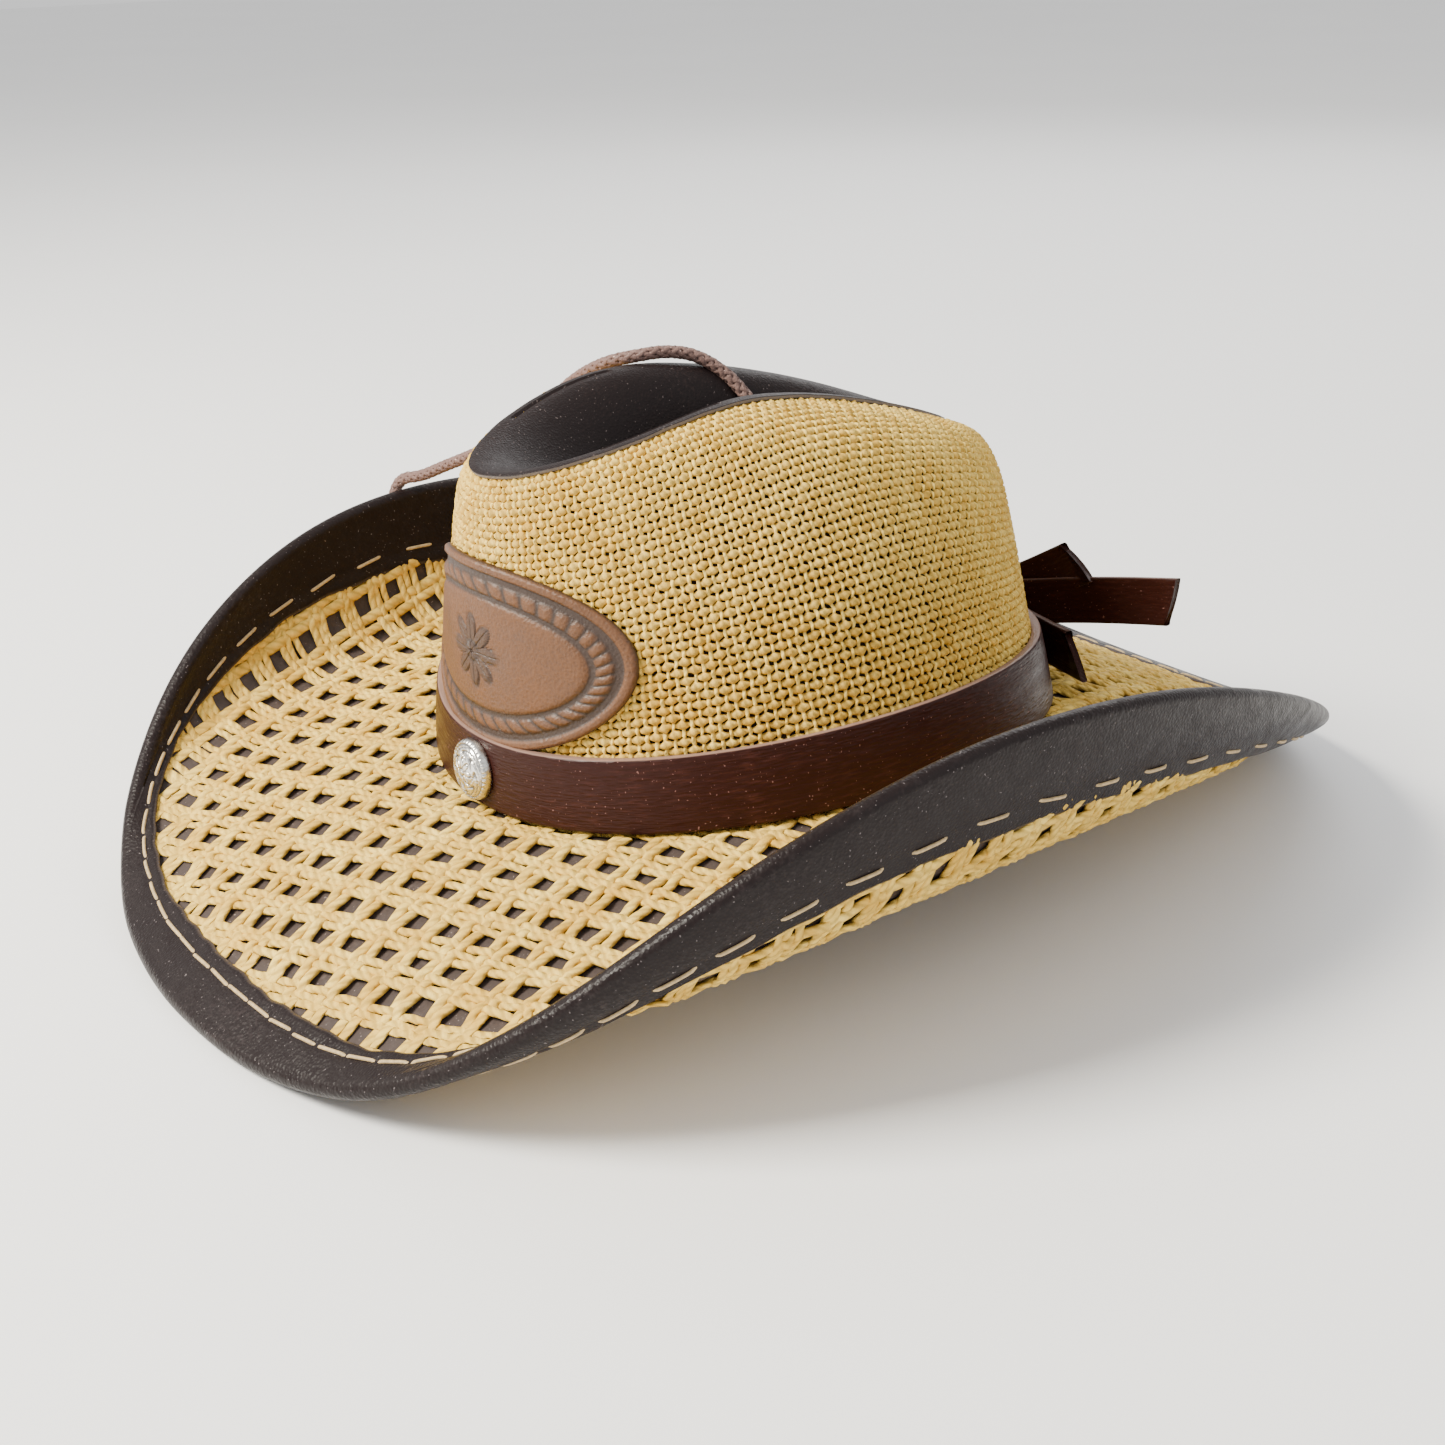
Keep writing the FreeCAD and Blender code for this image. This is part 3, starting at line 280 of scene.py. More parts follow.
# ---------------------------------------------------------------- meshes from grids of points
class Net:
    """Gathers grids of points, each closed into a solid, into one mesh."""

    def __init__(self):
        self.points, self.corners, self.starts, self.maps, self.marks = [], [], [], [], []
        self.count = self.corner_count = 0

    def add(self, grid, u, v, looped=False, mark=0.0):
        """A tube of rings: grid is rings by places round a ring. u runs along it and v round
        it, with one more value than places. The ends are closed by a face each, or joined."""
        rings, sides = grid.shape[:2]
        i = np.arange(rings if looped else rings - 1)[:, None]
        j = np.arange(sides)[None]
        nexti, nextj = (i + 1) % rings, (j + 1) % sides
        quads = np.stack(
            np.broadcast_arrays(
                i * sides + j, nexti * sides + j, nexti * sides + nextj, i * sides + nextj
            ),
            -1,
        ).reshape(-1, 4)
        maps = np.stack(
            [
                vec2(u[i], v[j]),
                vec2(u[i + 1], v[j]),
                vec2(u[i + 1], v[j + 1]),
                vec2(u[i], v[j + 1]),
            ],
            -2,
        ).reshape(-1, 4, 2)
        corners = [quads.reshape(-1)]
        pins = [maps.reshape(-1, 2)]
        sizes = [np.full(len(quads), 4)]
        if not looped:
            first = np.arange(sides)[::-1]
            last = (rings - 1) * sides + np.arange(sides)
            corners += [first, last]
            pins += [vec2(u[0], v[:-1][::-1]), vec2(u[-1], v[:-1])]
            sizes.append(np.array([sides, sides]))
        corners, pins, sizes = map(np.concatenate, (corners, pins, sizes))
        flat = grid.reshape(-1, 3)
        a, b, c, d = (flat[quads[:, k]] for k in range(4))
        if np.einsum("ij,ij->", a - flat[0], np.cross(c - a, d - b)) < 0:
            edges = np.concatenate([[0], np.cumsum(sizes)])
            order = np.arange(len(corners))
            owner = np.repeat(np.arange(len(sizes)), sizes)
            order = edges[owner] + edges[owner + 1] - 1 - order
            corners, pins = corners[order], pins[order]
        self.points.append(flat)
        self.corners.append(corners + self.count)
        self.maps.append(pins)
        self.starts.append(np.concatenate([[0], np.cumsum(sizes)[:-1]]) + self.corner_count)
        self.marks.append(np.broadcast_to(mark, (rings, sides)).reshape(-1))
        self.count += len(flat)
        self.corner_count += len(corners)

    def build(self, name, material, slot, nodes):
        """Turns the gathered grids into an object that stands for the named CAD nodes."""
        mesh = bpy.data.meshes.new(name)
        points = stood(np.concatenate(self.points))
        corners = np.concatenate(self.corners)
        starts = np.concatenate(self.starts)
        mesh.vertices.add(len(points))
        mesh.vertices.foreach_set("co", points.astype(np.float32).ravel())
        mesh.loops.add(len(corners))
        mesh.loops.foreach_set("vertex_index", corners.astype(np.int32))
        mesh.polygons.add(len(starts))
        mesh.polygons.foreach_set("loop_start", starts.astype(np.int32))
        mesh.update(calc_edges=True)
        mesh.polygons.foreach_set("use_smooth", np.ones(len(starts), bool))
        layer = mesh.uv_layers.new(name="UVMap")
        layer.data.foreach_set("uv", np.concatenate(self.maps).astype(np.float32).ravel())
        marks = mesh.attributes.new("mark", "FLOAT", "POINT")
        marks.data.foreach_set("value", np.concatenate(self.marks).astype(np.float32))
        mesh.validate()
        mesh.materials.append(material)
        piece = bpy.data.objects.new(name, mesh)
        bpy.context.collection.objects.link(piece)
        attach(piece, "root")
        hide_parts(*nodes)
        return piece


def vec2(x, y):
    return np.stack(np.broadcast_arrays(x, y), -1).astype(float)


def ahead_of(centre, looped):
    """Unit direction of travel along a line of points."""
    if looped:
        return unit(np.roll(centre, -1, 0) - np.roll(centre, 1, 0))
    return unit(np.gradient(centre, axis=0))


def strand(net, centre, normal, wide, thick, sides, looped=False):
    """A tube: centre + wide cos(a) side + thick sin(a) up, for a round the section, where up is
    the surface's normal and side is square to it and to the line."""
    ahead = ahead_of(centre, looped)
    side = unit(np.cross(ahead, normal))
    up = np.cross(side, ahead)
    a = np.arange(sides) / sides * TAU
    wide = np.broadcast_to(wide, len(centre))[:, None, None]
    thick = np.broadcast_to(thick, len(centre))[:, None, None]
    grid = (
        centre[:, None]
        + wide * np.cos(a)[None, :, None] * side[:, None]
        + thick * np.sin(a)[None, :, None] * up[:, None]
    )
    steps = np.linalg.norm(np.diff(centre, axis=0), axis=1)
    u = np.concatenate([[0], np.cumsum(steps)])
    if looped:
        u = np.append(u, u[-1] + np.linalg.norm(centre[0] - centre[-1]))
    net.add(grid, u, np.arange(sides + 1) / sides, looped)


def rounded(corner_places, radius, steps=3):
    """A closed outline of a rectangle, given as (low, high) in each direction, with its corners
    rounded by quarter circles."""
    (x0, x1), (y0, y1) = corner_places
    points = []
    quarter = np.linspace(0, math.pi / 2, steps)
    centres = [(x1 - radius, y1 - radius), (x0 + radius, y1 - radius)]
    centres += [(x0 + radius, y0 + radius), (x1 - radius, y0 + radius)]
    for number, (x, y) in enumerate(centres):
        angle = quarter + number * math.pi / 2
        points.append(vec2(x + radius * np.cos(angle), y + radius * np.sin(angle)))
    return np.concatenate(points)


def outline_lengths(outline):
    """Running length round a closed outline, with one more value than it has points."""
    steps = np.linalg.norm(np.roll(outline, -1, 0) - outline, axis=1)
    return np.concatenate([[0], np.cumsum(steps)])


def wobble(turn, seed, orders, size):
    """A smooth random value round the hat: sines of several whole orders with random phases."""
    random = np.random.default_rng(seed)
    value = np.zeros(np.shape(turn))
    for order in orders:
        value = value + random.uniform(0.4, 1) * np.sin(order * turn + random.uniform(0, TAU))
    return value * size / math.sqrt(len(orders))


# ---------------------------------------------------------------- materials
class Finish:
    """A material with a Principled shader, and short ways to add nodes to it."""

    def __init__(self, name, **sockets):
        self.material = bpy.data.materials.new(name)
        self.material.use_nodes = True
        self.tree = self.material.node_tree
        self.shader = self.tree.nodes["Principled BSDF"]
        for socket, value in sockets.items():
            self.shader.inputs[socket.replace("_", " ")].default_value = value
        self.place = self.add("ShaderNodeTexCoord")

    def add(self, kind, inputs=None, **settings):
        node = self.tree.nodes.new(kind)
        for key, value in settings.items():
            setattr(node, key, value)
        for key, value in (inputs or {}).items():
            if isinstance(value, bpy.types.NodeSocket):
                self.tree.links.new(value, node.inputs[key])
            else:
                node.inputs[key].default_value = value
        return node

    def math(self, operation, a, b=0.0, clamp=False):
        node = self.add("ShaderNodeMath", {0: a, 1: b}, operation=operation, use_clamp=clamp)
        return node.outputs[0]

    def stretched(self, coordinates, scale):
        node = self.add("ShaderNodeMapping", {"Vector": self.place.outputs[coordinates]})
        node.inputs["Scale"].default_value = scale
        return node.outputs[0]

    def noise(self, where, scale, detail=3.0, rough=0.55):
        inputs = {"Vector": where, "Scale": scale, "Detail": detail, "Roughness": rough}
        return self.add("ShaderNodeTexNoise", inputs).outputs["Fac"]

    def cells(self, where, scale):
        inputs = {"Vector": where, "Scale": scale}
        return self.add("ShaderNodeTexVoronoi", inputs).outputs["Distance"]

    def remap(self, value, low, high, to_low=0.0, to_high=1.0):
        inputs = {0: value, 1: low, 2: high, 3: to_low, 4: to_high}
        return self.add("ShaderNodeMapRange", inputs, clamp=True).outputs[0]

    def mix(self, share, a, b):
        node = self.add("ShaderNodeMix", data_type="RGBA")
        for index, value in ((0, share), (6, a), (7, b)):
            if isinstance(value, bpy.types.NodeSocket):
                self.tree.links.new(value, node.inputs[index])
            elif index:
                node.inputs[index].default_value = (*value, 1.0)
            else:
                node.inputs[index].default_value = value
        return node.outputs[2]

    def mark(self):
        return self.add("ShaderNodeAttribute", attribute_name="mark").outputs["Fac"]

    def colour(self, socket):
        self.tree.links.new(socket, self.shader.inputs["Base Color"])

    def rough(self, socket):
        self.tree.links.new(socket, self.shader.inputs["Roughness"])

    def bump(self, height, distance, strength=1.0, under=None):
        inputs = {"Height": height, "Distance": distance, "Strength": strength}
        if under is not None:
            inputs["Normal"] = under
        node = self.add("ShaderNodeBump", inputs)
        self.tree.links.new(node.outputs[0], self.shader.inputs["Normal"])
        return node.outputs[0]


def straw(name, pale, deep, ply_pitch, plies=2.0):
    """Plied straw: diagonal plies round the strand, with fibres, spots and faded stretches, and
    painted shade in the grooves between the plies.
    """
    f = Finish(name, Roughness=0.72)
    f.shader.inputs["Specular IOR Level"].default_value = 0.25
    parts = f.add("ShaderNodeSeparateXYZ", {0: f.place.outputs["UV"]})
    along = f.math("MULTIPLY", parts.outputs[0], 1 / ply_pitch)
    around = f.math("MULTIPLY", parts.outputs[1], plies)
    phase = f.math("MULTIPLY", f.math("ADD", along, around), TAU)
    ply = f.remap(f.math("SINE", phase), -1.0, 0.6)
    fibre = f.noise(f.place.outputs["Object"], 2600, 2)
    patch = f.noise(f.place.outputs["Object"], 95, 3)
    spots = f.remap(f.noise(f.place.outputs["Object"], 420, 2), 0.34, 0.62, 0.45, 0.0)
    body = f.mix(f.remap(patch, 0.32, 0.68), deep, pale)
    worn = f.mix(spots, body, [c * 0.62 for c in deep])
    # Painted shade: the grooves between the plies are darkened towards the deep straw.
    groove = f.remap(ply, 0.0, 0.5, 0.55, 0.0)
    f.colour(f.mix(groove, worn, [c * 0.55 for c in deep]))
    height = f.math("ADD", f.math("MULTIPLY", ply, 0.8), f.math("MULTIPLY", fibre, 0.35))
    f.bump(height, 0.0006, 0.75)
    return f.material


def leather(name, colour, light, grain=1100.0, rough=(0.34, 0.56), edge=None, stretch=(1, 1, 1)):
    """Grained leather: a net of small cells, blotches of tone, rubbed high spots, a pale raw
    edge where the mark is one, and specks."""
    f = Finish(name, Roughness=0.45)
    f.shader.inputs["Specular IOR Level"].default_value = 0.14
    where = f.place.outputs["Object"] if stretch == (1, 1, 1) else f.stretched("UV", stretch)
    cells = f.cells(where, grain)
    fine = f.noise(where, grain * 0.6, 4)
    tone = f.noise(f.place.outputs["Object"], 38, 4)
    rubbed = f.math("MULTIPLY", f.remap(fine, 0.5, 0.75), f.remap(tone, 0.4, 0.7))
    body = f.mix(f.math("MULTIPLY", rubbed, 0.65), colour, light)
    speck = f.remap(f.noise(f.place.outputs["Object"], 1500, 0), 0.79, 0.83)
    body = f.mix(f.math("MULTIPLY", speck, 0.5), body, [min(1.0, c * 3 + 0.1) for c in light])
    if edge is not None:
        body = f.mix(f.mark(), body, edge)
    f.colour(body)
    f.rough(f.remap(f.noise(where, grain * 0.2, 3), 0.3, 0.7, *rough))
    height = f.math("ADD", f.math("MULTIPLY", cells, 0.7), f.math("MULTIPLY", fine, 0.5))
    f.bump(height, 0.00035, 0.55)
    return f.material


def tooled(name, tan, dark):
    """Tooled leather: tan on the high places and dark in the grooves that the mark gives."""
    f = Finish(name, Roughness=0.5)
    tone = f.noise(f.place.outputs["Object"], 90, 4)
    body = f.mix(f.remap(tone, 0.3, 0.7), [c * 0.78 for c in tan], tan)
    pebble = f.cells(f.place.outputs["Object"], 900)
    body = f.mix(f.remap(pebble, 0.2, 0.6, 0.25, 0.0), body, dark)
    f.colour(f.mix(f.mark(), body, dark))
    f.rough(f.remap(tone, 0.3, 0.7, 0.4, 0.62))
    f.bump(f.math("ADD", pebble, f.noise(f.place.outputs["Object"], 1500, 2)), 0.0003, 0.5)
    return f.material


def cloth(name, colour, light, pitch=0.0011):
    """A plain woven cloth: two crossed sine ribs."""
    f = Finish(name, Roughness=0.9)
    parts = f.add("ShaderNodeSeparateXYZ", {0: f.place.outputs["Object"]})
    x = f.math("SINE", f.math("MULTIPLY", parts.outputs[0], TAU / pitch))
    y = f.math("SINE", f.math("MULTIPLY", parts.outputs[1], TAU / pitch))
    rib = f.remap(f.math("MULTIPLY", x, y), -1.0, 1.0)
    tone = f.noise(f.place.outputs["Object"], 60, 3)
    f.colour(f.mix(f.math("MULTIPLY", rib, tone), colour, light))
    f.bump(rib, 0.0003, 0.5)
    return f.material


def thread(name, colour):
    """Thread: tones and small bumps from noise."""
    f = Finish(name, Roughness=0.6)
    tone = f.noise(f.place.outputs["Object"], 700, 3)
    f.colour(f.mix(f.remap(tone, 0.3, 0.7), [c * 0.6 for c in colour], colour))
    f.bump(f.noise(f.place.outputs["Object"], 3200, 2), 0.0002, 0.6)
    return f.material


def metal(name, bright, dark, rough=0.24):
    """Cast metal with dark grooves where the mark is one, and small scratches."""
    f = Finish(name, Metallic=1.0, Roughness=rough)
    f.colour(f.mix(f.mark(), bright, dark))
    scratch = f.noise(f.place.outputs["Object"], 900, 4)
    f.rough(f.remap(scratch, 0.3, 0.7, rough * 0.7, rough * 1.6))
    f.bump(scratch, 0.0001, 0.35)
    return f.material


def dress(node, material):
    """Gives a CAD node its material."""
    piece = bpy.data.objects[node] if node in bpy.data.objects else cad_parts[node]
    piece.data.materials.clear()
    piece.data.materials.append(material)


# ---------------------------------------------------------------- settings
def length(name, description, default):
    return FloatProperty(name=name, description=description, default=default, min=0, unit="LENGTH")


def tint(name, description, default):
    return FloatVectorProperty(
        name=name, description=description, default=default, min=0, max=1, subtype="COLOR"
    )


class HatSizes(bpy.types.PropertyGroup):
    crown_warps: IntProperty(
        name="Crown warps", description="Upright yarns round the crown; even", default=216, min=40
    )
    crown_wefts: IntProperty(
        name="Crown wefts", description="Level yarns up the crown's wall", default=48, min=10
    )
    brim_pitch: length("Brim pitch", "Pitch of the brim's groups of yarns", 0.013)
    brim_turn: FloatProperty(
        name="Brim turn",
        description="How far the brim's cloth is turned",
        default=math.radians(17.0),
        unit="ROTATION",
    )
    binding_width: length("Binding width", "Width of the leather that binds the rim", 0.019)
    stitch_inset: length("Stitch inset", "Distance of the stitches in from the rim", 0.0133)
    stitch_length: length("Stitch length", "Length of one stitch on the binding", 0.0116)
    stitch_count: IntProperty(
        name="Stitches", description="Stitches round the binding", default=72, min=12
    )
    thread_diameter: length("Thread", "Diameter of the sewing thread", 0.0011)
    band_width: length("Strap width", "Width of the strap round the crown", 0.022)
    band_thickness: length("Strap thickness", "Thickness of the strap round the crown", 0.0034)
    badge_half_width: length("Badge half width", "Half the width of the oval badge", 0.0515)
    badge_half_height: length("Badge half height", "Half the height of the oval badge", 0.0288)
    badge_middle: length("Badge height", "Height of the badge's middle above the seam", 0.0507)
    stud_diameter: length("Stud", "Diameter of the metal stud", 0.019)
    stud_height: length("Stud height", "Height of the stud's dome", 0.0052)
    lace_diameter: length("Lace", "Diameter of the braided lace", 0.0046)


class HatColours(bpy.types.PropertyGroup):
    straw_pale: tint("Pale straw", "Colour of the palest straw", (0.90, 0.64, 0.15))
    straw_deep: tint("Deep straw", "Colour of the deeper straw", (0.66, 0.39, 0.055))
    black_leather: tint("Black leather", "Colour of the rim's leather", (0.011, 0.007, 0.007))
    strap_leather: tint("Strap leather", "Colour of the strap's leather", (0.026, 0.007, 0.005))
    core_leather: tint("Core leather", "Colour of the leather in the brim", (0.060, 0.045, 0.040))
    badge_tan: tint("Tooled tan", "Colour of the badge's high places", (0.13, 0.050, 0.015))
    badge_dark: tint("Tooled dark", "Colour of the badge's grooves", (0.028, 0.015, 0.010))
    thread: tint("Thread", "Colour of the sewing thread", (0.56, 0.40, 0.20))
    lace: tint("Lace", "Colour of the braided lace", (0.17, 0.105, 0.09))
    silver: tint("Silver", "Colour of the stud", (0.78, 0.76, 0.72))


def sizes():
    return bpy.context.scene.hat_sizes


def colours():
    return bpy.context.scene.hat_colours


class Maker:
    """What the hat's operators share."""

    bl_options = {"REGISTER", "UNDO"}

    def execute(self, context):
        self.make()
        return {"FINISHED"}


# ---------------------------------------------------------------- stage and camera
CAMERA_PLACE = Vector((0.52186, -0.39551, 0.30234))
CAMERA_HEADING = math.radians(-53.533)  # from +Y, towards +X
CAMERA_DIP = math.radians(-17.295)
CAMERA_ROLL = math.radians(1.292)
CAMERA_LENS = 52.88
CAMERA_SHIFT = (-0.0108, -0.1213)


class HAT_OT_stage(Maker, bpy.types.Operator):
    """Makes the camera, the soft lights and the pale floor"""

    bl_idname = "hat.stage"
    bl_label = "Stage"

    def make(self):
        scene = bpy.context.scene
        camera = bpy.data.objects.new("camera", bpy.data.cameras.new("camera"))
        bpy.context.collection.objects.link(camera)
        ahead = Vector(
            (
                math.sin(CAMERA_HEADING) * math.cos(CAMERA_DIP),
                math.cos(CAMERA_HEADING) * math.cos(CAMERA_DIP),
                math.sin(CAMERA_DIP),
            )
        )
        camera.location = CAMERA_PLACE
        camera.rotation_mode = "QUATERNION"
        level = ahead.to_track_quat("-Z", "Y")
        camera.rotation_quaternion = Quaternion(ahead, CAMERA_ROLL) @ level
        camera.data.lens = CAMERA_LENS
        camera.data.shift_x, camera.data.shift_y = CAMERA_SHIFT
        camera.data.clip_start = 0.01
        scene.camera = camera

        self.lamp("key", (-0.45, -1.2, 1.3), 0.7, 88.0, (1.0, 0.95, 0.84))
        self.lamp("fill", (1.5, 0.2, 0.9), 1.6, 5.0, (0.95, 0.97, 1.0))
        self.lamp("back", (-0.9, 1.3, 1.2), 1.2, 12.0, (1.0, 1.0, 1.0))
        world = bpy.data.worlds.new("room")
        world.use_nodes = True
        world.node_tree.nodes["Background"].inputs["Color"].default_value = (1, 1, 1, 1)
        world.node_tree.nodes["Background"].inputs["Strength"].default_value = 0.9
        scene.world = world

        floor = Finish("floor", Roughness=0.9)
        tone = floor.noise(floor.place.outputs["Object"], 3, 2)
        floor.colour(floor.mix(tone, (0.88, 0.88, 0.88), (0.92, 0.92, 0.92)))
        size = 6.0
        mesh = bpy.data.meshes.new("floor")
        corners = [(-size, -size, 0), (size, -size, 0), (size, size, 0), (-size, size, 0)]
        mesh.from_pydata(corners, [], [(0, 1, 2, 3)])
        mesh.materials.append(floor.material)
        plane = bpy.data.objects.new("floor", mesh)
        bpy.context.collection.objects.link(plane)

    def lamp(self, name, place, size, power, colour):
        data = bpy.data.lights.new(name, "AREA")
        data.size, data.energy, data.color = size, power, colour
        lamp = bpy.data.objects.new(name, data)
        lamp.location = place
        aim = Vector((0, 0, 0.05)) - Vector(place)
        lamp.rotation_mode = "QUATERNION"
        lamp.rotation_quaternion = aim.to_track_quat("-Z", "Y")
        bpy.context.collection.objects.link(lamp)


# ---------------------------------------------------------------- chin lace
BRAID_STRANDS = 8
BRAID_PITCH = 0.015


def route_line():
    """Points along the lace's smooth line, read from the NURBS spline of its route."""
    curve = bpy.data.curves.new("lace_route", "CURVE")
    curve.dimensions = "3D"
    curve.resolution_u = 16
    spline = curve.splines.new("NURBS")
    places = stood(LACE_ROUTE)
    spline.points.add(len(places) - 1)
    spline.points.foreach_set("co", np.c_[places, np.ones(len(places))].ravel())
    spline.order_u = 3
    spline.use_endpoint_u = True
    holder = bpy.data.objects.new("lace_route", curve)
    bpy.context.collection.objects.link(holder)
    mesh = bpy.data.meshes.new_from_object(holder)
    line = np.empty(len(mesh.vertices) * 3, np.float32)
    mesh.vertices.foreach_get("co", line)
    bpy.data.objects.remove(holder)
    bpy.data.curves.remove(curve)
    bpy.data.meshes.remove(mesh)
    return line.reshape(-1, 3).astype(float)


def evenly(line, step):
    """Points at equal steps along a line."""
    run = np.concatenate([[0], np.cumsum(np.linalg.norm(np.diff(line, axis=0), axis=1))])
    marks = np.linspace(0, run[-1], max(int(run[-1] / step), 2))
    return np.stack([np.interp(marks, run, line[:, k]) for k in range(3)], -1), marks


def carried_frame(line):
    """Two directions square to a line at each point, carried along it without turning."""
    ahead = unit(np.gradient(line, axis=0))
    side = np.empty_like(line)
    side[0] = unit(np.cross(ahead[0], UP + 0.1))
    for k in range(1, len(line)):
        side[k] = unit(side[k - 1] - ahead[k] * (side[k - 1] @ ahead[k]))
    return side, np.cross(ahead, side)


def unstood(points):
    """The reverse of stood: from the standing hat to the hat's own frame."""
    return (np.asarray(points, float) - PLACE) @ TURN_X


class HAT_OT_lace(Maker, bpy.types.Operator):
    """Makes the braided chin lace and its knot"""

    bl_idname = "hat.lace"
    bl_label = "Chin lace"

    def make(self):
        """Strand k goes round the line as R (cos q, sin q), q = +-2 pi u / pitch + 2 pi k / n,
        with R in and out as it crosses the strands that go the other way."""
        line, run = evenly(route_line(), 0.0011)
        side, up = carried_frame(line)
        diameter = sizes().lace_diameter
        net = Net()
        for number in range(BRAID_STRANDS):
            way = 1 if number % 2 else -1
            angle = way * TAU * run / BRAID_PITCH + TAU * (number // 2) / (BRAID_STRANDS / 2)
            weave = np.cos(BRAID_STRANDS / 2 * angle) * way
            radius = diameter * (0.335 + 0.03 * weave)
            radial = side * np.cos(angle)[:, None] + up * np.sin(angle)[:, None]
            centre = line + radial * radius[:, None]
            strand(net, unstood(centre), radial @ TURN_X, diameter * 0.21, diameter * 0.135, 6)
        core_normal = side @ TURN_X
        strand(net, unstood(line), core_normal, diameter * 0.3, diameter * 0.3, 6)
        finish = leather("lace_leather", colours().lace, [c * 1.9 for c in colours().lace], 1400)
        lace = net.build("braided_lace", finish, "lace_leather", ["chin_lace"])
        knot = self.knot(line, side, up, finish)

    def knot(self, line, side, up, finish):
        """Three turns of lace wound round its end: a spiral about the line's last direction,
        between two rounded ends."""
        diameter = sizes().lace_diameter
        ahead = unit(line[-1] - line[-4])
        a = np.linspace(0, 3.2 * TAU, 90)
        ease = np.sin(np.linspace(0, math.pi, 90)) ** 0.35
        radial = side[-1] * np.cos(a)[:, None] + up[-1] * np.sin(a)[:, None]
        axis = line[-1] + ahead * (0.0016 + 0.0068 * a / a[-1])[:, None]
        centre = axis + radial * (diameter * 0.52 * ease)[:, None]
        net = Net()
        strand(net, unstood(centre), radial @ TURN_X, diameter * 0.32, diameter * 0.34, 8)
        plug = line[-1] + ahead * np.linspace(-0.001, 0.0096, 6)[:, None]
        thick = diameter * np.array([0.42, 0.5, 0.52, 0.52, 0.5, 0.4])
        strand(net, unstood(plug), np.tile(side[-1] @ TURN_X, (6, 1)), thick, thick, 10)
        return net.build("lace_end_knot", finish, "lace_leather", ["lace_knot"])


# ---------------------------------------------------------------- crown
def wall_grid(columns, rows, top_share):
    """Turns by places at equal steps of length up the wall, from the seam to a top share."""
    turn = np.arange(columns) / columns * TAU
    fine = np.linspace(0, top_share, 61)
    profile = crown(turn[:, None], fine[None])
    steps = np.linalg.norm(np.diff(profile, axis=1), axis=-1)
    run = np.concatenate([np.zeros((columns, 1)), np.cumsum(steps, 1)], 1)
    wanted = np.linspace(0, 1, rows)[None] * run[:, -1:]
    share = np.stack([np.interp(w, r, fine) for w, r in zip(wanted, run)])
    return turn[:, None] + np.zeros_like(share), share


CROWN_WEAVE_TOP = 0.985
YARN_WANDER = (0.0016, 0.0010)  # of the turn and of the share
# Each pair is the middle value and the swing between in and out.
WEFT_DEPTH = (-1.05 * MM, 0.48 * MM)
WEFT_THICK = (0.90 * MM, 0.32 * MM)
WEFT_WIDE = (1.02 * MM, 0.48 * MM)
WARP_DEPTH = (-1.05 * MM, 0.80 * MM)
WARP_WIDE = (0.54 * MM, 0.06 * MM)


class HAT_OT_crown_weave(Maker, bpy.types.Operator):
    """Makes the crown's plain weave, yarn by yarn"""

    bl_idname = "hat.crown_weave"
    bl_label = "Crown weave"

    def make(self):
        """Level yarn i and upright yarn j cross with the level one outside where i + j is
        even. There it is fat and stands out; where it is inside it is thin. Both go between
        those places by halves."""
        random = np.random.default_rng(7)
        warps, wefts = sizes().crown_warps, sizes().crown_wefts
        turn, share = wall_grid(2 * warps, 2 * wefts - 1, CROWN_WEAVE_TOP)
        jitter = random.normal(0, 1, (2, *turn.shape))
        turn = turn + jitter[0] * YARN_WANDER[0]
        share = np.clip(share + jitter[1] * YARN_WANDER[1], 0, 0.99)
        surface, normal = crown(turn, share), crown_normal(turn, share)
        pale, deep = colours().straw_pale, colours().straw_deep
        weft_straw = straw("crown_weft_straw", [c * 0.95 for c in pale], deep, 0.0022, 1.0)
        warp_straw = straw("crown_warp_straw", [min(c * 1.1, 1) for c in pale], pale, 0.0035, 1.0)

        cross = np.zeros(2 * warps)
        cross[::2] = np.where(np.arange(warps) % 2 == 0, 1.0, -1.0)
        nets = [Net(), Net()]
        for row in range(wefts):
            out = cross * (1 if row % 2 == 0 else -1)
            depth = WEFT_DEPTH[0] + WEFT_DEPTH[1] * out
            thick = WEFT_THICK[0] + WEFT_THICK[1] * out + random.normal(0, 0.00007, len(out))
            wide = WEFT_WIDE[0] + WEFT_WIDE[1] * out + random.normal(0, 0.00008, len(out))
            centre = surface[:, 2 * row] + normal[:, 2 * row] * depth[:, None]
            net = nets[row * 2 // wefts]
            strand(net, centre, normal[:, 2 * row], wide, thick, 6, looped=True)
        for net, part in zip(nets, ("low", "high")):
            net.build(f"crown_wefts_{part}", weft_straw, "straw_weave", ["crown_weave"])

        nets = [Net(), Net()]
        rise = np.zeros(2 * wefts - 1)
        rise[::2] = np.where(np.arange(wefts) % 2 == 0, -1.0, 1.0)
        for column in range(warps):
            out = rise * (1 if column % 2 == 0 else -1)
            depth = WARP_DEPTH[0] + WARP_DEPTH[1] * out
            size = random.uniform(0.85, 1.2)
            centre = surface[2 * column] + normal[2 * column] * depth[:, None]
            wide = (WARP_WIDE[0] + WARP_WIDE[1] * out) * size
            net = nets[column * 2 // warps]
            strand(net, centre, normal[2 * column], wide, wide * 0.9, 5)
        for net, part in zip(nets, ("left", "right")):
            net.build(f"crown_warps_{part}", warp_straw, "straw_weave", ["crown_weave"])


LINING_DEPTH = 2.4 * MM
LINING_THICKNESS = 0.6 * MM
LINING_GAP = (0.92, 1.3)  # shares between which it passes straight under the crest


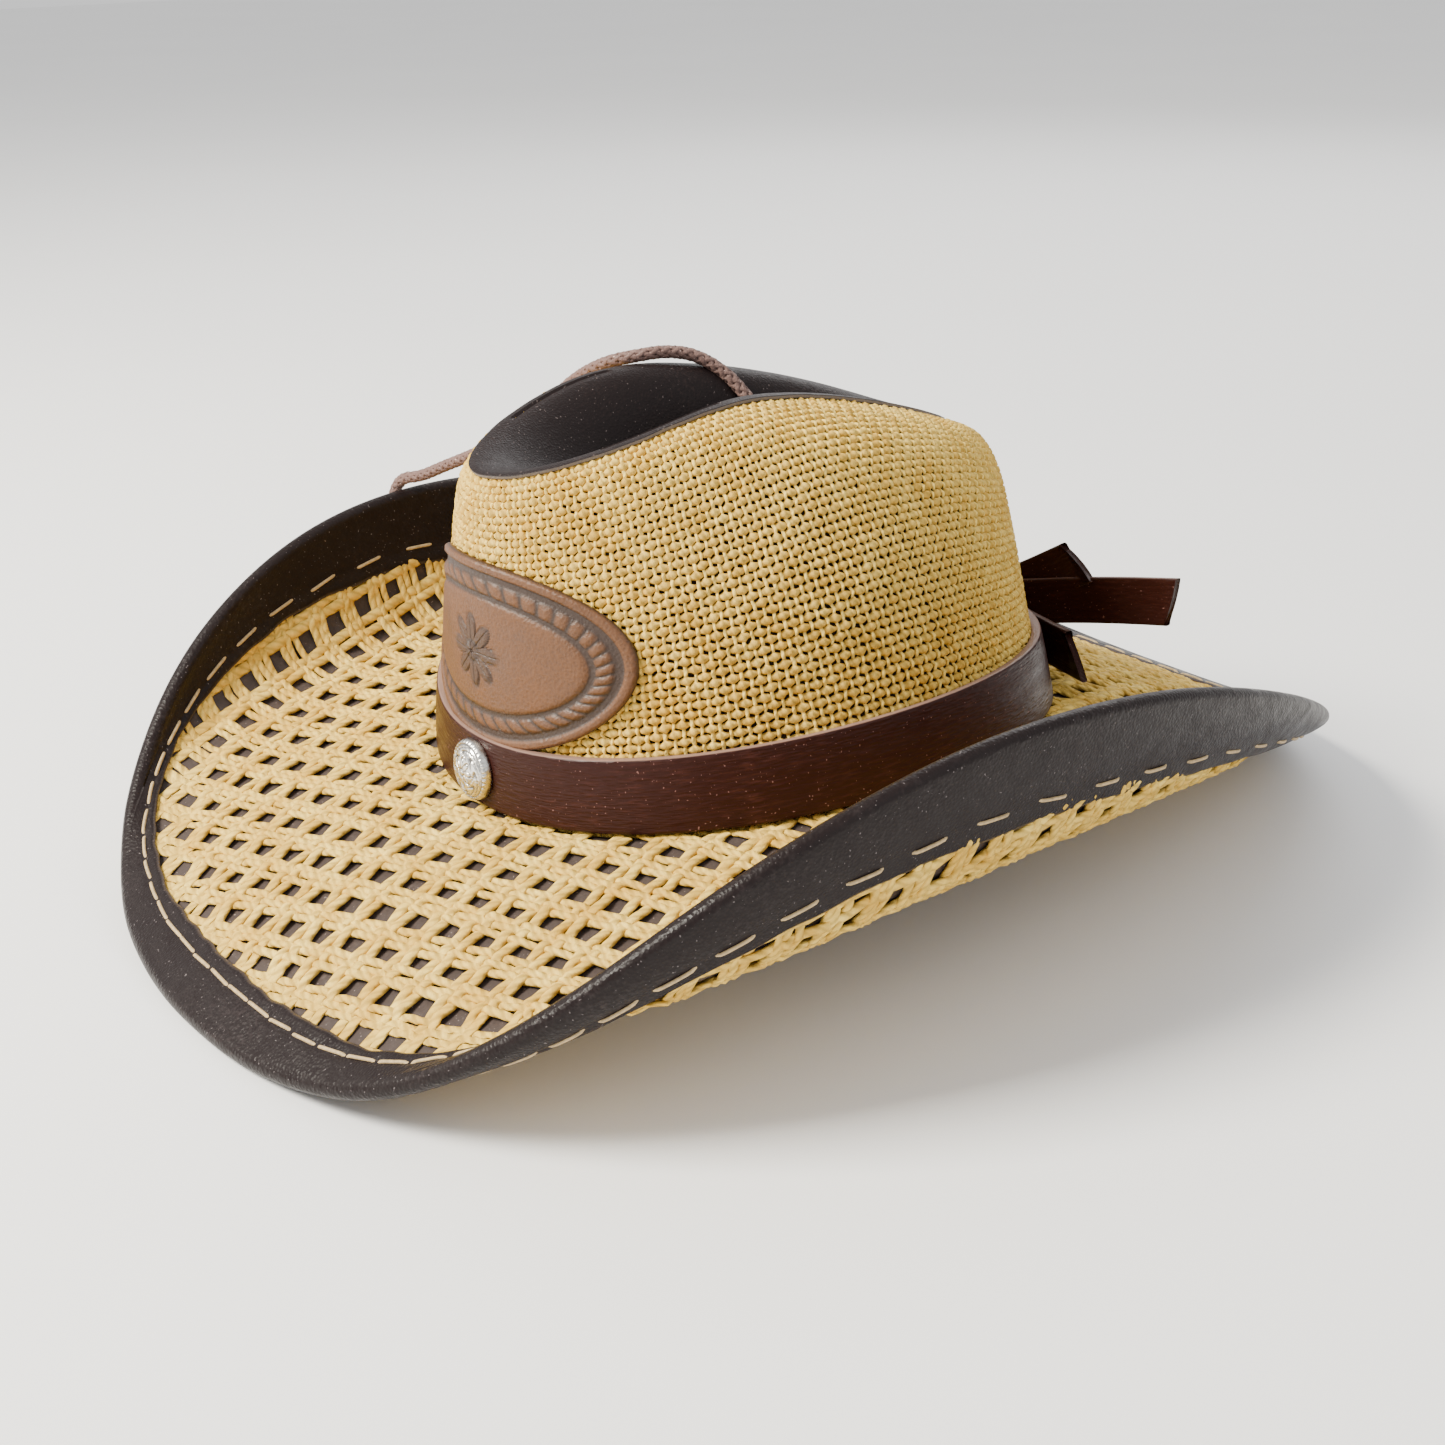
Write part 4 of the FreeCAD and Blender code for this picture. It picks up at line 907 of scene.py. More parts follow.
class HAT_OT_crown_lining(Maker, bpy.types.Operator):
    """Finishes the lining, the sweatband and the pieces hidden in the hat"""

    bl_idname = "hat.crown_lining"
    bl_label = "Lining and hidden pieces"

    def make(self):
        """The lining is two skins of the crown's surface, moved in along its normal by a depth,
        from the seam to near the crest and from there, straight across, down the dent. The
        other pieces keep their CAD shape and get a material."""
        turn = np.arange(240) / 240 * TAU
        wall, dent = np.linspace(0, LINING_GAP[0], 34), np.linspace(LINING_GAP[1], 2, 14)
        share = np.concatenate([wall, dent])[:, None]
        surface, normal = crown(turn, share), crown_normal(turn, share)
        middle = np.array([0, DENT_MIDDLE_Y, DENT_MIDDLE_Z])
        skins = []
        for depth in (LINING_DEPTH, LINING_DEPTH + LINING_THICKNESS):
            skin = surface - normal * depth
            skin[..., 2] = np.maximum(skin[..., 2], surface[:1, :, 2])
            floor = skin[-1] + (middle - UP * depth - skin[-1]) * np.array([[[0.5]], [[0.95]]])
            skins.append(np.concatenate([skin, floor]))
        grid = np.concatenate([skins[1][::-1], skins[0]])
        net = Net()
        net.add(grid, np.arange(len(grid)) * 0.002, np.linspace(0, 0.4, 241))
        # The lining is a real piece, but its cloth is dark as painted shade. It stands in for the
        # shade inside the crown that shows through the weave's gaps.
        dark = cloth("lining_cloth", (0.030, 0.016, 0.008), (0.065, 0.036, 0.018))
        net.build("crown_lining_cloth", dark, "lining_cloth", ["crown_lining"])
        brown = leather("sweatband_leather", (0.20, 0.105, 0.055), (0.30, 0.17, 0.09), 1500)
        dress("sweatband", brown)
        dress("sweatband_stitches", thread("sweatband_thread", colours().thread))
        steel = metal("hidden_steel", (0.50, 0.49, 0.47), (0.1, 0.1, 0.1), 0.4)
        dress("rim_wire", steel)
        dress("stud_washer", steel)
        dress("lace_tab", leather("tab_leather", colours().lace, [0.3, 0.2, 0.17], 1300))


class HAT_OT_top_leather(Maker, bpy.types.Operator):
    """Makes the leather that lines the dent and laps over the crest"""

    bl_idname = "hat.top_leather"
    bl_label = "Top leather"

    def make(self):
        """Two skins of the crown from the lap to the dent's middle, joined at the lap by a
        rounded edge that wanders a little."""
        turn = np.linspace(0, TAU, 360, endpoint=False)
        lap = even(turn, (0.05, 0.035, 0.03, 0.05, 0.07)) + wobble(turn, 3, (9, 14, 23, 31), 0.004)
        low, high = 0.15 * MM, 1.35 * MM
        down = np.concatenate([np.linspace(0, 1, 9)[:-1], np.linspace(1, 2, 22)])
        rings, marks = [], []

        def ring(position, offset, mark):
            share = np.where(position <= 1, 1 - lap * (1 - min(position, 1.0)), position)
            rings.append(crown(turn, share) + crown_normal(turn, share) * offset)
            marks.append(np.full(len(turn), mark))

        def middle(offset):
            normal = unit(np.array([0, DENT_SLOPE, 1.0]))
            centre = np.array([0, DENT_MIDDLE_Y, DENT_MIDDLE_Z]) + normal * offset
            edge = dent_floor(turn) + normal * offset
            for part in (0.85, 0.6, 0.3, 0.08):
                rings.append(centre + (edge - centre) * part)
                marks.append(np.zeros(len(turn)))

        middle(low)
        rings.reverse()
        for position in down[::-1]:
            ring(position, low, 0.0)
        for swing in (-60, 0, 55):
            ring(0.0, (low + high) / 2 + (high - low) / 2 * math.sin(math.radians(swing)), 0.75)
            bulge = 0.35 * MM * math.cos(math.radians(swing))
            rings[-1] = rings[-1] - UP * bulge
        for position in down:
            ring(position, high, 0.0)
        middle(high)
        grid = np.stack(rings)
        mark = np.stack(marks)
        net = Net()
        across = np.arange(len(rings)) * 0.002
        around = np.linspace(0, 0.4, len(turn) + 1)
        net.add(grid, across, around, mark=mark)
        dark = colours().black_leather
        finish = leather(
            "top_leather", [c * 1.15 for c in dark], [0.045, 0.029, 0.026], 1500, (0.36, 0.5),
            edge=(0.20, 0.17, 0.15),
        )
        net.build("crown_cap_leather", finish, "dark_leather", ["crown_top_leather"])


# ---------------------------------------------------------------- badge
ROPE_TWISTS = 46
PETALS = 8
BORDER = 11.5 * MM
FIELD_DEPTH = 8 * MM  # how much further in than the border its middle counts


def wall_under(x, z):
    """Turn and share of the crown's wall at a place across and up, by repeated correction."""
    turn = np.arcsin(np.clip(x / HALF_WIDTH, -0.98, 0.98))
    share = np.clip(z / 0.11, 0.05, 0.95)
    for _ in range(14):
        here = crown(turn, share)
        by_turn = (crown(turn + 0.001, share) - here) / 0.001
        by_share = (crown(turn, share + 0.001) - here) / 0.001
        turn = turn + np.clip((x - here[..., 0]) / by_turn[..., 0], -0.2, 0.2) * 0.8
        share = share + np.clip((z - here[..., 2]) / by_share[..., 2], -0.2, 0.2) * 0.8
        share = np.clip(share, 0.01, 0.97)
    return turn, share


class HAT_OT_badge(Maker, bpy.types.Operator):
    """Makes the tooled oval badge on the front of the crown"""

    bl_idname = "hat.badge"
    bl_label = "Badge"

    def relief(self, inset, angle, x, y):
        """Height of the tooling and how dark it is, from the distance in from the outline, the
        angle round it and the place from its middle. The border is a rounded rim, a wide
        groove, a rope of slanting twists and a thin groove; the field holds a rosette, whose
        petals are |cos(n angle / 2)| long."""
        mm = inset / MM
        rim = np.clip(mm / 0.9, 0, 1) ** 0.5 * np.clip((3.0 - mm) / 0.5, 0, 1)
        across = (mm - 7.4) / 2.3
        twist = np.abs(np.sin(ROPE_TWISTS * angle / 2 + across * 0.9))
        rope = np.sqrt(np.clip(1 - across**2, 0, 1)) * (0.45 + 0.55 * twist)
        field = np.clip((mm - 11.0) / 0.8, 0, 1)
        radius, swing = np.hypot(x, y) / MM, np.arctan2(y, x)
        petal = 5.2 + 6.2 * np.abs(np.cos(PETALS * swing / 2)) ** 0.7
        inside = np.clip((petal - radius) / 0.9, 0, 1)
        line = np.exp(-(((radius - petal) / 0.55) ** 2))
        vein = np.exp(-((np.sin(PETALS * swing / 2) * radius / 0.9) ** 2)) * inside
        heart = np.exp(-(((radius - 3.0) / 0.5) ** 2))
        button = np.clip((3.0 - radius) / 0.6, 0, 1)
        height = 1.15 + 1.05 * rim + 0.95 * rope + 0.75 * field
        height = height + field * (0.35 * inside - 0.45 * line - 0.25 * vein)
        height = height + field * (0.35 * button - 0.35 * heart)
        groove = (1 - np.clip(rim * 1.6 + rope * 1.25 + field * 1.4, 0, 1)) * 0.95
        stain = np.clip(0.62 * inside + 0.9 * line + 0.3 * vein + 0.7 * heart, 0, 0.95) * field
        valley = np.clip(1 - twist * 1.7, 0, 1) * (np.abs(across) < 1)
        return height * MM, np.clip(groove + stain + 0.75 * valley, 0, 1)

    def make(self):
        half_width, half_height = sizes().badge_half_width, sizes().badge_half_height
        middle = crown_height(sizes().badge_middle)
        angle = np.arange(736) / 736 * TAU
        inset = np.concatenate([np.linspace(0, BORDER, 27), np.full(24, BORDER)])
        scale = np.concatenate([np.ones(27), np.linspace(1, 0.012, 25)[1:]])
        x = (half_width - inset[:, None]) * scale[:, None] * np.cos(angle)
        y = (half_height - inset[:, None]) * scale[:, None] * np.sin(angle)
        depth = inset[:, None] + (1 - scale[:, None]) * FIELD_DEPTH
        height, dark = self.relief(*np.broadcast_arrays(depth, angle), x, y)
        turn, share = wall_under(x, middle + y)
        base, normal = crown(turn, share), crown_normal(turn, share)
        lift = 0.15 * MM
        outer = base + normal * (lift + height)[..., None]
        inner = base + normal * lift
        grid = np.concatenate([inner[::-2], outer])
        mark = np.concatenate([np.zeros_like(inner[::-2, :, 0]), dark])
        net = Net()
        net.add(grid, np.arange(len(grid)) * 0.001, np.linspace(0, 0.25, 737), mark=mark)
        finish = tooled("tooled_leather", colours().badge_tan, colours().badge_dark)
        net.build("tooled_badge", finish, "tooled_leather", ["crown_badge"])


def crown_height(above_seam):
    """Height in the hat's frame of a place above the seam at the front."""
    return above_seam - SADDLE


# ---------------------------------------------------------------- brim
def off_ray(turn, across, along):
    """How far a place on the flat cloth lies to the side of the ray that leaves the seam at a
    turn, towards the rim."""
    foot = seam(turn)[..., :2]
    out = unit(brim_edge(turn)[..., :2] - foot)
    miss = out[..., 0] * (along - foot[..., 1]) - out[..., 1] * (across - foot[..., 0])
    run = out[..., 0] * (across - foot[..., 0]) + out[..., 1] * (along - foot[..., 1])
    return miss, run


def cloth_to_brim(across, along):
    """Where a place on the flat cloth comes to lie: its turn, share and distances from the seam
    and to the rim. The cloth is laid out along rays from the seam, at its own length."""
    turn = np.arctan2(across / HALF_WIDTH, -along / HALF_LENGTH)
    for _ in range(16):
        miss, _run = off_ray(turn, across, along)
        ahead, _run = off_ray(turn + 1e-4, across, along)
        slope = (ahead - miss) / 1e-4
        slope = np.where(np.abs(slope) < 1e-3, 1e-3, slope)
        turn = turn - np.clip(miss / slope, -0.15, 0.15)
    run = off_ray(turn, across, along)[1]
    lengths = brim_lengths(turn)
    step = np.clip((lengths < run[..., None]).sum(-1), 1, 24)
    before = np.take_along_axis(lengths, (step - 1)[..., None], -1)[..., 0]
    after = np.take_along_axis(lengths, step[..., None], -1)[..., 0]
    share = (step - 1 + (run - before) / (after - before)) / 24
    return turn, share, run, lengths[..., -1] - run


ROW_PLACES = MM * np.array([-2.55, 0.0, 2.55])  # three yarns in a row
COLUMN_PLACES = MM * np.array([-1.7, 1.7])  # two yarns in a column
ROW_STOPS = MM * np.array([-1.45, 0.0, 1.45, 3.6, 6.5, 9.4])
COLUMN_STOPS = MM * np.array([-2.35, -1.2, 0.0, 1.2, 2.35, 4.5, 6.5, 8.5])
BRIM_GROUPS = 20
ROW_YARN = (1.36 * MM, 0.95 * MM)  # half widths across and through
COLUMN_YARN = (1.78 * MM, 1.0 * MM)
WEAVE_SWING = 0.55 * MM


class HAT_OT_brim_weave(Maker, bpy.types.Operator):
    """Makes the open weave on both faces of the brim, yarn by yarn"""

    bl_idname = "hat.brim_weave"
    bl_label = "Brim weave"

    def make(self):
        pale, deep = colours().straw_pale, colours().straw_deep
        finish = straw("brim_straw", pale, deep, 0.0042, 2.0)
        for side, face in ((1, "upper"), (-1, "lower")):
            for family in ("rows", "columns"):
                net = Net()
                self.lay(net, family, side)
                net.build(f"brim_{face}_{family}", finish, "straw_weave", [f"brim_{face}_weave"])

    def lay(self, net, family, side):
        """Straight lines of yarn on the flat cloth, in groups, cut where the cloth ends, with
        row i over column j where i + j is even."""
        pitch, angle = sizes().brim_pitch, sizes().brim_turn * side
        random = np.random.default_rng(11 + side + (family == "rows"))
        groups = np.arange(-BRIM_GROUPS, BRIM_GROUPS + 1)
        rows = family == "rows"
        places, stops = (ROW_PLACES, ROW_STOPS) if rows else (COLUMN_PLACES, COLUMN_STOPS)
        wide, thick = ROW_YARN if rows else COLUMN_YARN
        along = (groups[:, None] * pitch + stops).ravel()
        for group in groups:
            for number, place in enumerate(places):
                index = group * len(places) + number
                rise = self.rises(index, groups, rows)
                line = group * pitch + place + random.normal(0, 0.00012, len(along))
                line = line + 0.0005 * np.sin(along * 60 + random.uniform(0, TAU))
                a, b = (along, line) if rows else (line, along)
                x = a * math.cos(angle) - b * math.sin(angle)
                y = a * math.sin(angle) + b * math.cos(angle)
                self.cut(net, x, y, rise, wide * random.uniform(0.92, 1.1), thick, side)

    def rises(self, index, groups, rows):
        """Height of a yarn at each stop, from -1, under, to 1, over."""
        if rows:
            over = 1.0 if index % 2 == 0 else -1.0
            return np.tile(np.array([1, 0, -1, -0.5, 0, 0.5]) * over, len(groups))
        over = np.where((groups * 3 + index) % 2 == 0, -1.0, 1.0)
        return (np.array([1, 0, -1, 0, 1, 0.5, 0, -0.5]) * over[:, None]).ravel()

    def cut(self, net, x, y, rise, wide, thick, side):
        """Keeps the stretches of a line that lie on the brim, and lays each as a strand. Yarn
        is pressed flat under the binding and beside the seam."""
        outside = (x / HALF_WIDTH) ** 2 + (y / HALF_LENGTH) ** 2 > 1.0
        near = np.hypot(x / 0.24, y / 0.26) < 1.0
        keep = np.flatnonzero(outside & near)
        if len(keep) < 3:
            return
        turn, share, run, left = cloth_to_brim(x[keep], y[keep])
        good = (run > 0.2 * MM) & (left > 5 * MM)
        keep, turn, share, run, left = (v[good] for v in (keep, turn, share, run, left))
        if len(keep) < 3:
            return
        press = 0.42 + 0.58 * np.clip((left - 21.0 * MM) / (3.5 * MM), 0, 1)
        press = press * (0.65 + 0.35 * np.clip((run - 4 * MM) / (4 * MM), 0, 1))
        height = CORE_HALF - 0.1 * MM + press * (thick + WEAVE_SWING * (1 + rise[keep]))
        normal = brim_frame(turn, share)[1] * side
        centre = brim(turn, share) + normal * height[:, None]
        for piece in np.split(np.arange(len(keep)), np.flatnonzero(np.diff(keep) > 1) + 1):
            if len(piece) > 2:
                size = wide * (1 + 0.1 * (1 - press[piece]))
                strand(net, centre[piece], normal[piece], size, thick * press[piece], 8)


class HAT_OT_brim_core(Maker, bpy.types.Operator):
    """Makes the leather sheet between the brim's two weaves"""

    bl_idname = "hat.brim_core"
    bl_label = "Brim core"

    def make(self):
        turn = np.arange(400) / 400 * TAU
        share = np.linspace(0.004, 0.984, 44)
        faces = []
        for side in (1, -1):
            normal = brim_frame(turn[None], share[:, None])[1]
            faces.append(brim(turn[None], share[:, None]) + normal * CORE_HALF * side)
        loop = np.concatenate([faces[0], faces[1][::-1]]).transpose(1, 0, 2)
        net = Net()
        net.add(loop, np.linspace(0, 1.1, 401), np.linspace(0, 0.2, 89), looped=True)
        colour = colours().core_leather
        finish = leather("core_leather", colour, [c * 2.2 for c in colour], 700, (0.3, 0.5))
        net.build("brim_core_leather", finish, "core_leather", ["brim_core"])


# ---------------------------------------------------------------- rim binding
def pucker(turn, from_edge):
    """Depth that the stitches pull the binding in: deepest at the stitches' ends."""
    pull = np.cos(turn * sizes().stitch_count) * -0.5 + 0.5
    away = (from_edge - sizes().stitch_inset) / (2.2 * MM)
    return 0.38 * MM * np.exp(-(away**2)) * (0.45 + 0.55 * pull)


class HAT_OT_binding(Maker, bpy.types.Operator):
    """Makes the leather folded over the rim"""

    bl_idname = "hat.binding"
    bl_label = "Rim binding"

    def make(self):
        """The section is carried round the rim: in along the top, round the wire and in along
        the underside, then back inside. Its inner edges wander and its faces are puckered."""
        turn = np.arange(576) / 576 * TAU
        out, up = brim_frame(turn, np.ones_like(turn))
        edge = brim_edge(turn)
        rings, across = [], []
        widths = {}
        for side in (1, -1):
            wander = wobble(turn, 20 + side, (13, 21, 34, 55, 72), 0.0006)
            widths[side] = sizes().binding_width + wander

        def sheet(side, radius, count, outer):
            for step in np.linspace(1, 0, count, endpoint=False):
                from_edge = widths[side] * step
                lift = radius * np.ones_like(turn)
                if outer:
                    lift = lift - pucker(turn, from_edge)
                    lift = lift + wobble(turn, 40 + side, (5, 8, 17, 29), 0.00022)
                    lift = lift - 0.5 * MM * (step > 0.985)
                rings.append(over_brim(turn, from_edge, side * lift))

        def fold(radius, degrees):
            for swing in degrees:
                a = math.radians(swing)
                swell = radius + wobble(turn, 60, (7, 11, 19), 0.00015)
                way = out * math.cos(a) + up * math.sin(a)
                rings.append(edge + way * swell[:, None])

        sheet(1, RIM_OUTER, 16, True)
        fold(RIM_OUTER, range(90, -91, -15))
        half = len(rings)
        sheet(-1, RIM_OUTER, 16, True)
        rings[half:] = rings[half:][::-1]
        half = len(rings)
        sheet(-1, RIM_INNER, 4, False)
        fold(RIM_INNER, range(-90, 91, 45))
        tail = len(rings)
        sheet(1, RIM_INNER, 4, False)
        rings[tail:] = rings[tail:][::-1]
        loop = np.stack(rings, 1)
        steps = np.linalg.norm(np.diff(loop.mean(0), axis=0), axis=1)
        mark = np.zeros(loop.shape[:2])
        mark[:, [0, half - 1, half, len(rings) - 1]] = 0.55
        net = Net()
        around = np.concatenate([[0], np.cumsum(np.maximum(steps, 0.001)), [0.12]])
        net.add(loop, np.linspace(0, 1.17, 577), around, looped=True, mark=mark)
        dark = colours().black_leather
        finish = leather(
            "binding_leather", dark, [0.045, 0.034, 0.034], 1000, (0.28, 0.46),
            edge=(0.11, 0.085, 0.075),
        )
        net.build("leather_binding", finish, "dark_leather", ["rim_binding"])


class HAT_OT_binding_stitches(Maker, bpy.types.Operator):
    """Makes the two rows of stitches on the binding"""

    bl_idname = "hat.binding_stitches"
    bl_label = "Binding stitches"

    def make(self):
        """A stitch is a short tube whose ends dive into the leather, as a half sine."""
        finish = thread("gold_thread", colours().thread)
        count, inset = sizes().stitch_count, sizes().stitch_inset
        radius = sizes().thread_diameter / 2
        for side, face in ((1, "upper"), (-1, "lower")):
            random = np.random.default_rng(80 + side)
            net = Net()
            turns = np.arange(count) / count * TAU
            beyond = over_brim(turns + 0.01, inset, 0.0) - over_brim(turns, inset, 0.0)
            rate = 0.01 / np.linalg.norm(beyond, axis=-1)
            for turn, per_metre in zip(turns, rate):
                along = np.linspace(-0.5, 0.5, 9)
                rise = np.sqrt(np.clip(1 - (2 * along) ** 4, 0, 1))
                half = sizes().stitch_length * random.uniform(0.93, 1.06)
                where = turn + along * half * per_metre
                place = inset + random.normal(0, 0.00012) + along * random.normal(0, 0.0006)
                height = side * (RIM_OUTER - 0.95 * MM + 1.02 * MM * rise)
                centre = over_brim(where, place, height)
                share = 1 - place / brim_lengths(where)[..., -1]
                normal = brim_frame(where, share)[1] * side
                strand(net, centre, normal, radius * 1.05, radius * 0.9, 6)
            net.build(f"stitches_{face}", finish, "thread", [f"binding_stitches_{face}"])


# ---------------------------------------------------------------- strap and stud
def band_place(turn, height, offset):
    """A point in or on the strap, at a height above its lower edge and off its inner face."""
    return on_wall(turn, BAND_SEAT + height, BAND_CLEARANCE + offset)


class HAT_OT_band(Maker, bpy.types.Operator):
    """Makes the strap round the crown and the loop that gathers it"""

    bl_idname = "hat.band"
    bl_label = "Strap"

    def finish(self):
        colour = colours().strap_leather
        return leather(
            "strap_leather", colour, [0.085, 0.028, 0.022], 1.0, (0.3, 0.46),
            edge=(0.24, 0.145, 0.11), stretch=(260, 1500, 1),
        )

    def patch(self, net, turn, low, high, inside, outside, looped, edge_mark):
        outline = rounded(((low, high), (inside, outside)), 0.75 * MM, 4)
        extra = np.linspace(low + 1 * MM, high - 1 * MM, 7)
        top = vec2(extra, outside + 0.25 * MM * np.sin((extra - low) / (high - low) * math.pi))
        outline = np.concatenate([outline[:4], top[::-1], outline[4:]])
        grid = band_place(turn[:, None], outline[None, :, 0], outline[None, :, 1])
        u = np.linspace(0, 0.6 * (turn[-1] - turn[0]) / TAU, len(turn) + (1 if looped else 0))
        raw = (outline[:, 0] > high - 0.55 * MM) & (outline[:, 1] < outside - 0.3 * MM)
        mark = np.broadcast_to(raw * edge_mark, grid.shape[:2])
        net.add(grid, u, outline_lengths(outline), looped, mark)

    def make(self):
        width, thickness = sizes().band_width, sizes().band_thickness
        finish = self.finish()
        net = Net()
        turn = np.arange(288) / 288 * TAU
        self.patch(net, turn, 0.0, width, 0.0, thickness, True, 1.0)
        net.build("strap", finish, "band_leather", ["hat_band"])
        net = Net()
        half = 9 * MM / HALF_WIDTH
        turn = np.linspace(math.pi - half, math.pi + half, 12)
        self.patch(
            net, turn, -2.3 * MM, width + 2.3 * MM, thickness + 0.1 * MM, thickness + 2.4 * MM,
            False, 0.6,
        )
        net.build("strap_loop", finish, "band_leather", ["band_keeper"])


TAIL_WIDTH = 16 * MM
END_WIDTH = 15 * MM
TAIL_THICKNESS = 2.3 * MM
TAIL_SPACING = (1.35 * MM, 2.55 * MM)  # of the first from the loop, and of each from the last
END_TURNS = (167.0, 143.0)
END_STAND_OFF = 8 * MM  # how far its tip stands off the strap
END_DROP = 2.5 * MM
END_SLANT = -12 * MM
END_LOOSENESS = 0.3 * MM
# Name, layer, reach, rise, way back, bow, slant, steps and looseness, in millimetres.
TAILS = (
    ("long", 0, 82.0, 19.5, 10.0, 4.0, 9.0, 24, 0.8),
    ("short", 1, 40.0, 23.0, 7.0, 3.0, -9.0, 16, 1.2),
)


class HAT_OT_tails(Maker, bpy.types.Operator):
    """Makes the strap's two tails and its short hanging end"""

    bl_idname = "hat.tails"
    bl_label = "Strap tails"

    def strap(self, net, route, width, thickness, slant, looseness):
        """A rounded flat section carried along the route on its edge; the last ring leans by
        the slant, and both edges curl away a little towards it."""
        ahead = ahead_of(route, False)
        side = unit(np.cross(ahead, UP))
        up = np.cross(side, ahead)
        outline = rounded(((-width / 2, width / 2), (-thickness / 2, thickness / 2)), 0.6 * MM)
        over = np.linspace(-width / 2 + 1 * MM, width / 2 - 1 * MM, 6)
        outer = vec2(over[::-1], np.full(6, thickness / 2))
        inner = vec2(over, np.full(6, -thickness / 2))
        outline = np.concatenate([outline[:3], outer, outline[3:9], inner, outline[9:]])
        share = np.linspace(0, 1, len(route))
        lean = slant / 2 * (np.arange(len(route)) == len(route) - 1)
        cup = looseness * share[:, None] * (outline[None, :, 0] / (width / 2)) ** 2
        grid = (
            route[:, None]
            + up[:, None] * outline[None, :, :1]
            + side[:, None] * (outline[None, :, 1:] + cup[..., None])
            + ahead[:, None] * (lean[:, None] * outline[None, :, 0] / (width / 2))[..., None]
        )
        mark = (np.abs(outline[:, 1]) < thickness / 2 - 0.3 * MM) * 0.35
        run = np.linspace(0, np.linalg.norm(route[-1] - route[0]), len(route))
        net.add(grid, run, outline_lengths(outline), mark=np.broadcast_to(mark, grid.shape[:2]))

    def make(self):
        finish = bpy.data.materials["strap_leather"]
        width, thickness = sizes().band_width, sizes().band_thickness
        knot = band_place(math.pi, width / 2, thickness + 2.35 * MM)
        for name, layer, reach, rise, back, bow, slant, steps, loose in TAILS:
            clear = TAIL_SPACING[0] + layer * TAIL_SPACING[1]
            share = np.linspace(0, 1, steps)
            swing = bow * np.sin(share * math.pi) + back * share
            route = knot + MM * vec(reach * share, swing, rise * share)
            route = route + np.array([0, clear, 0])
            net = Net()
            self.strap(net, route, TAIL_WIDTH, TAIL_THICKNESS, slant * MM, loose * MM)
            net.build(f"strap_tail_{name}", finish, "band_leather", [f"band_tail_{name}"])
        share = np.linspace(0, 1, 14)
        turn = np.radians(END_TURNS[0] + (END_TURNS[1] - END_TURNS[0]) * share)
        off = thickness + 1.7 * MM + END_STAND_OFF * share**2
        route = band_place(turn, width / 2 - END_DROP * share, off)
        net = Net()
        self.strap(net, route, END_WIDTH, TAIL_THICKNESS, END_SLANT, END_LOOSENESS)
        net.build("strap_short_end", finish, "band_leather", ["band_end"])


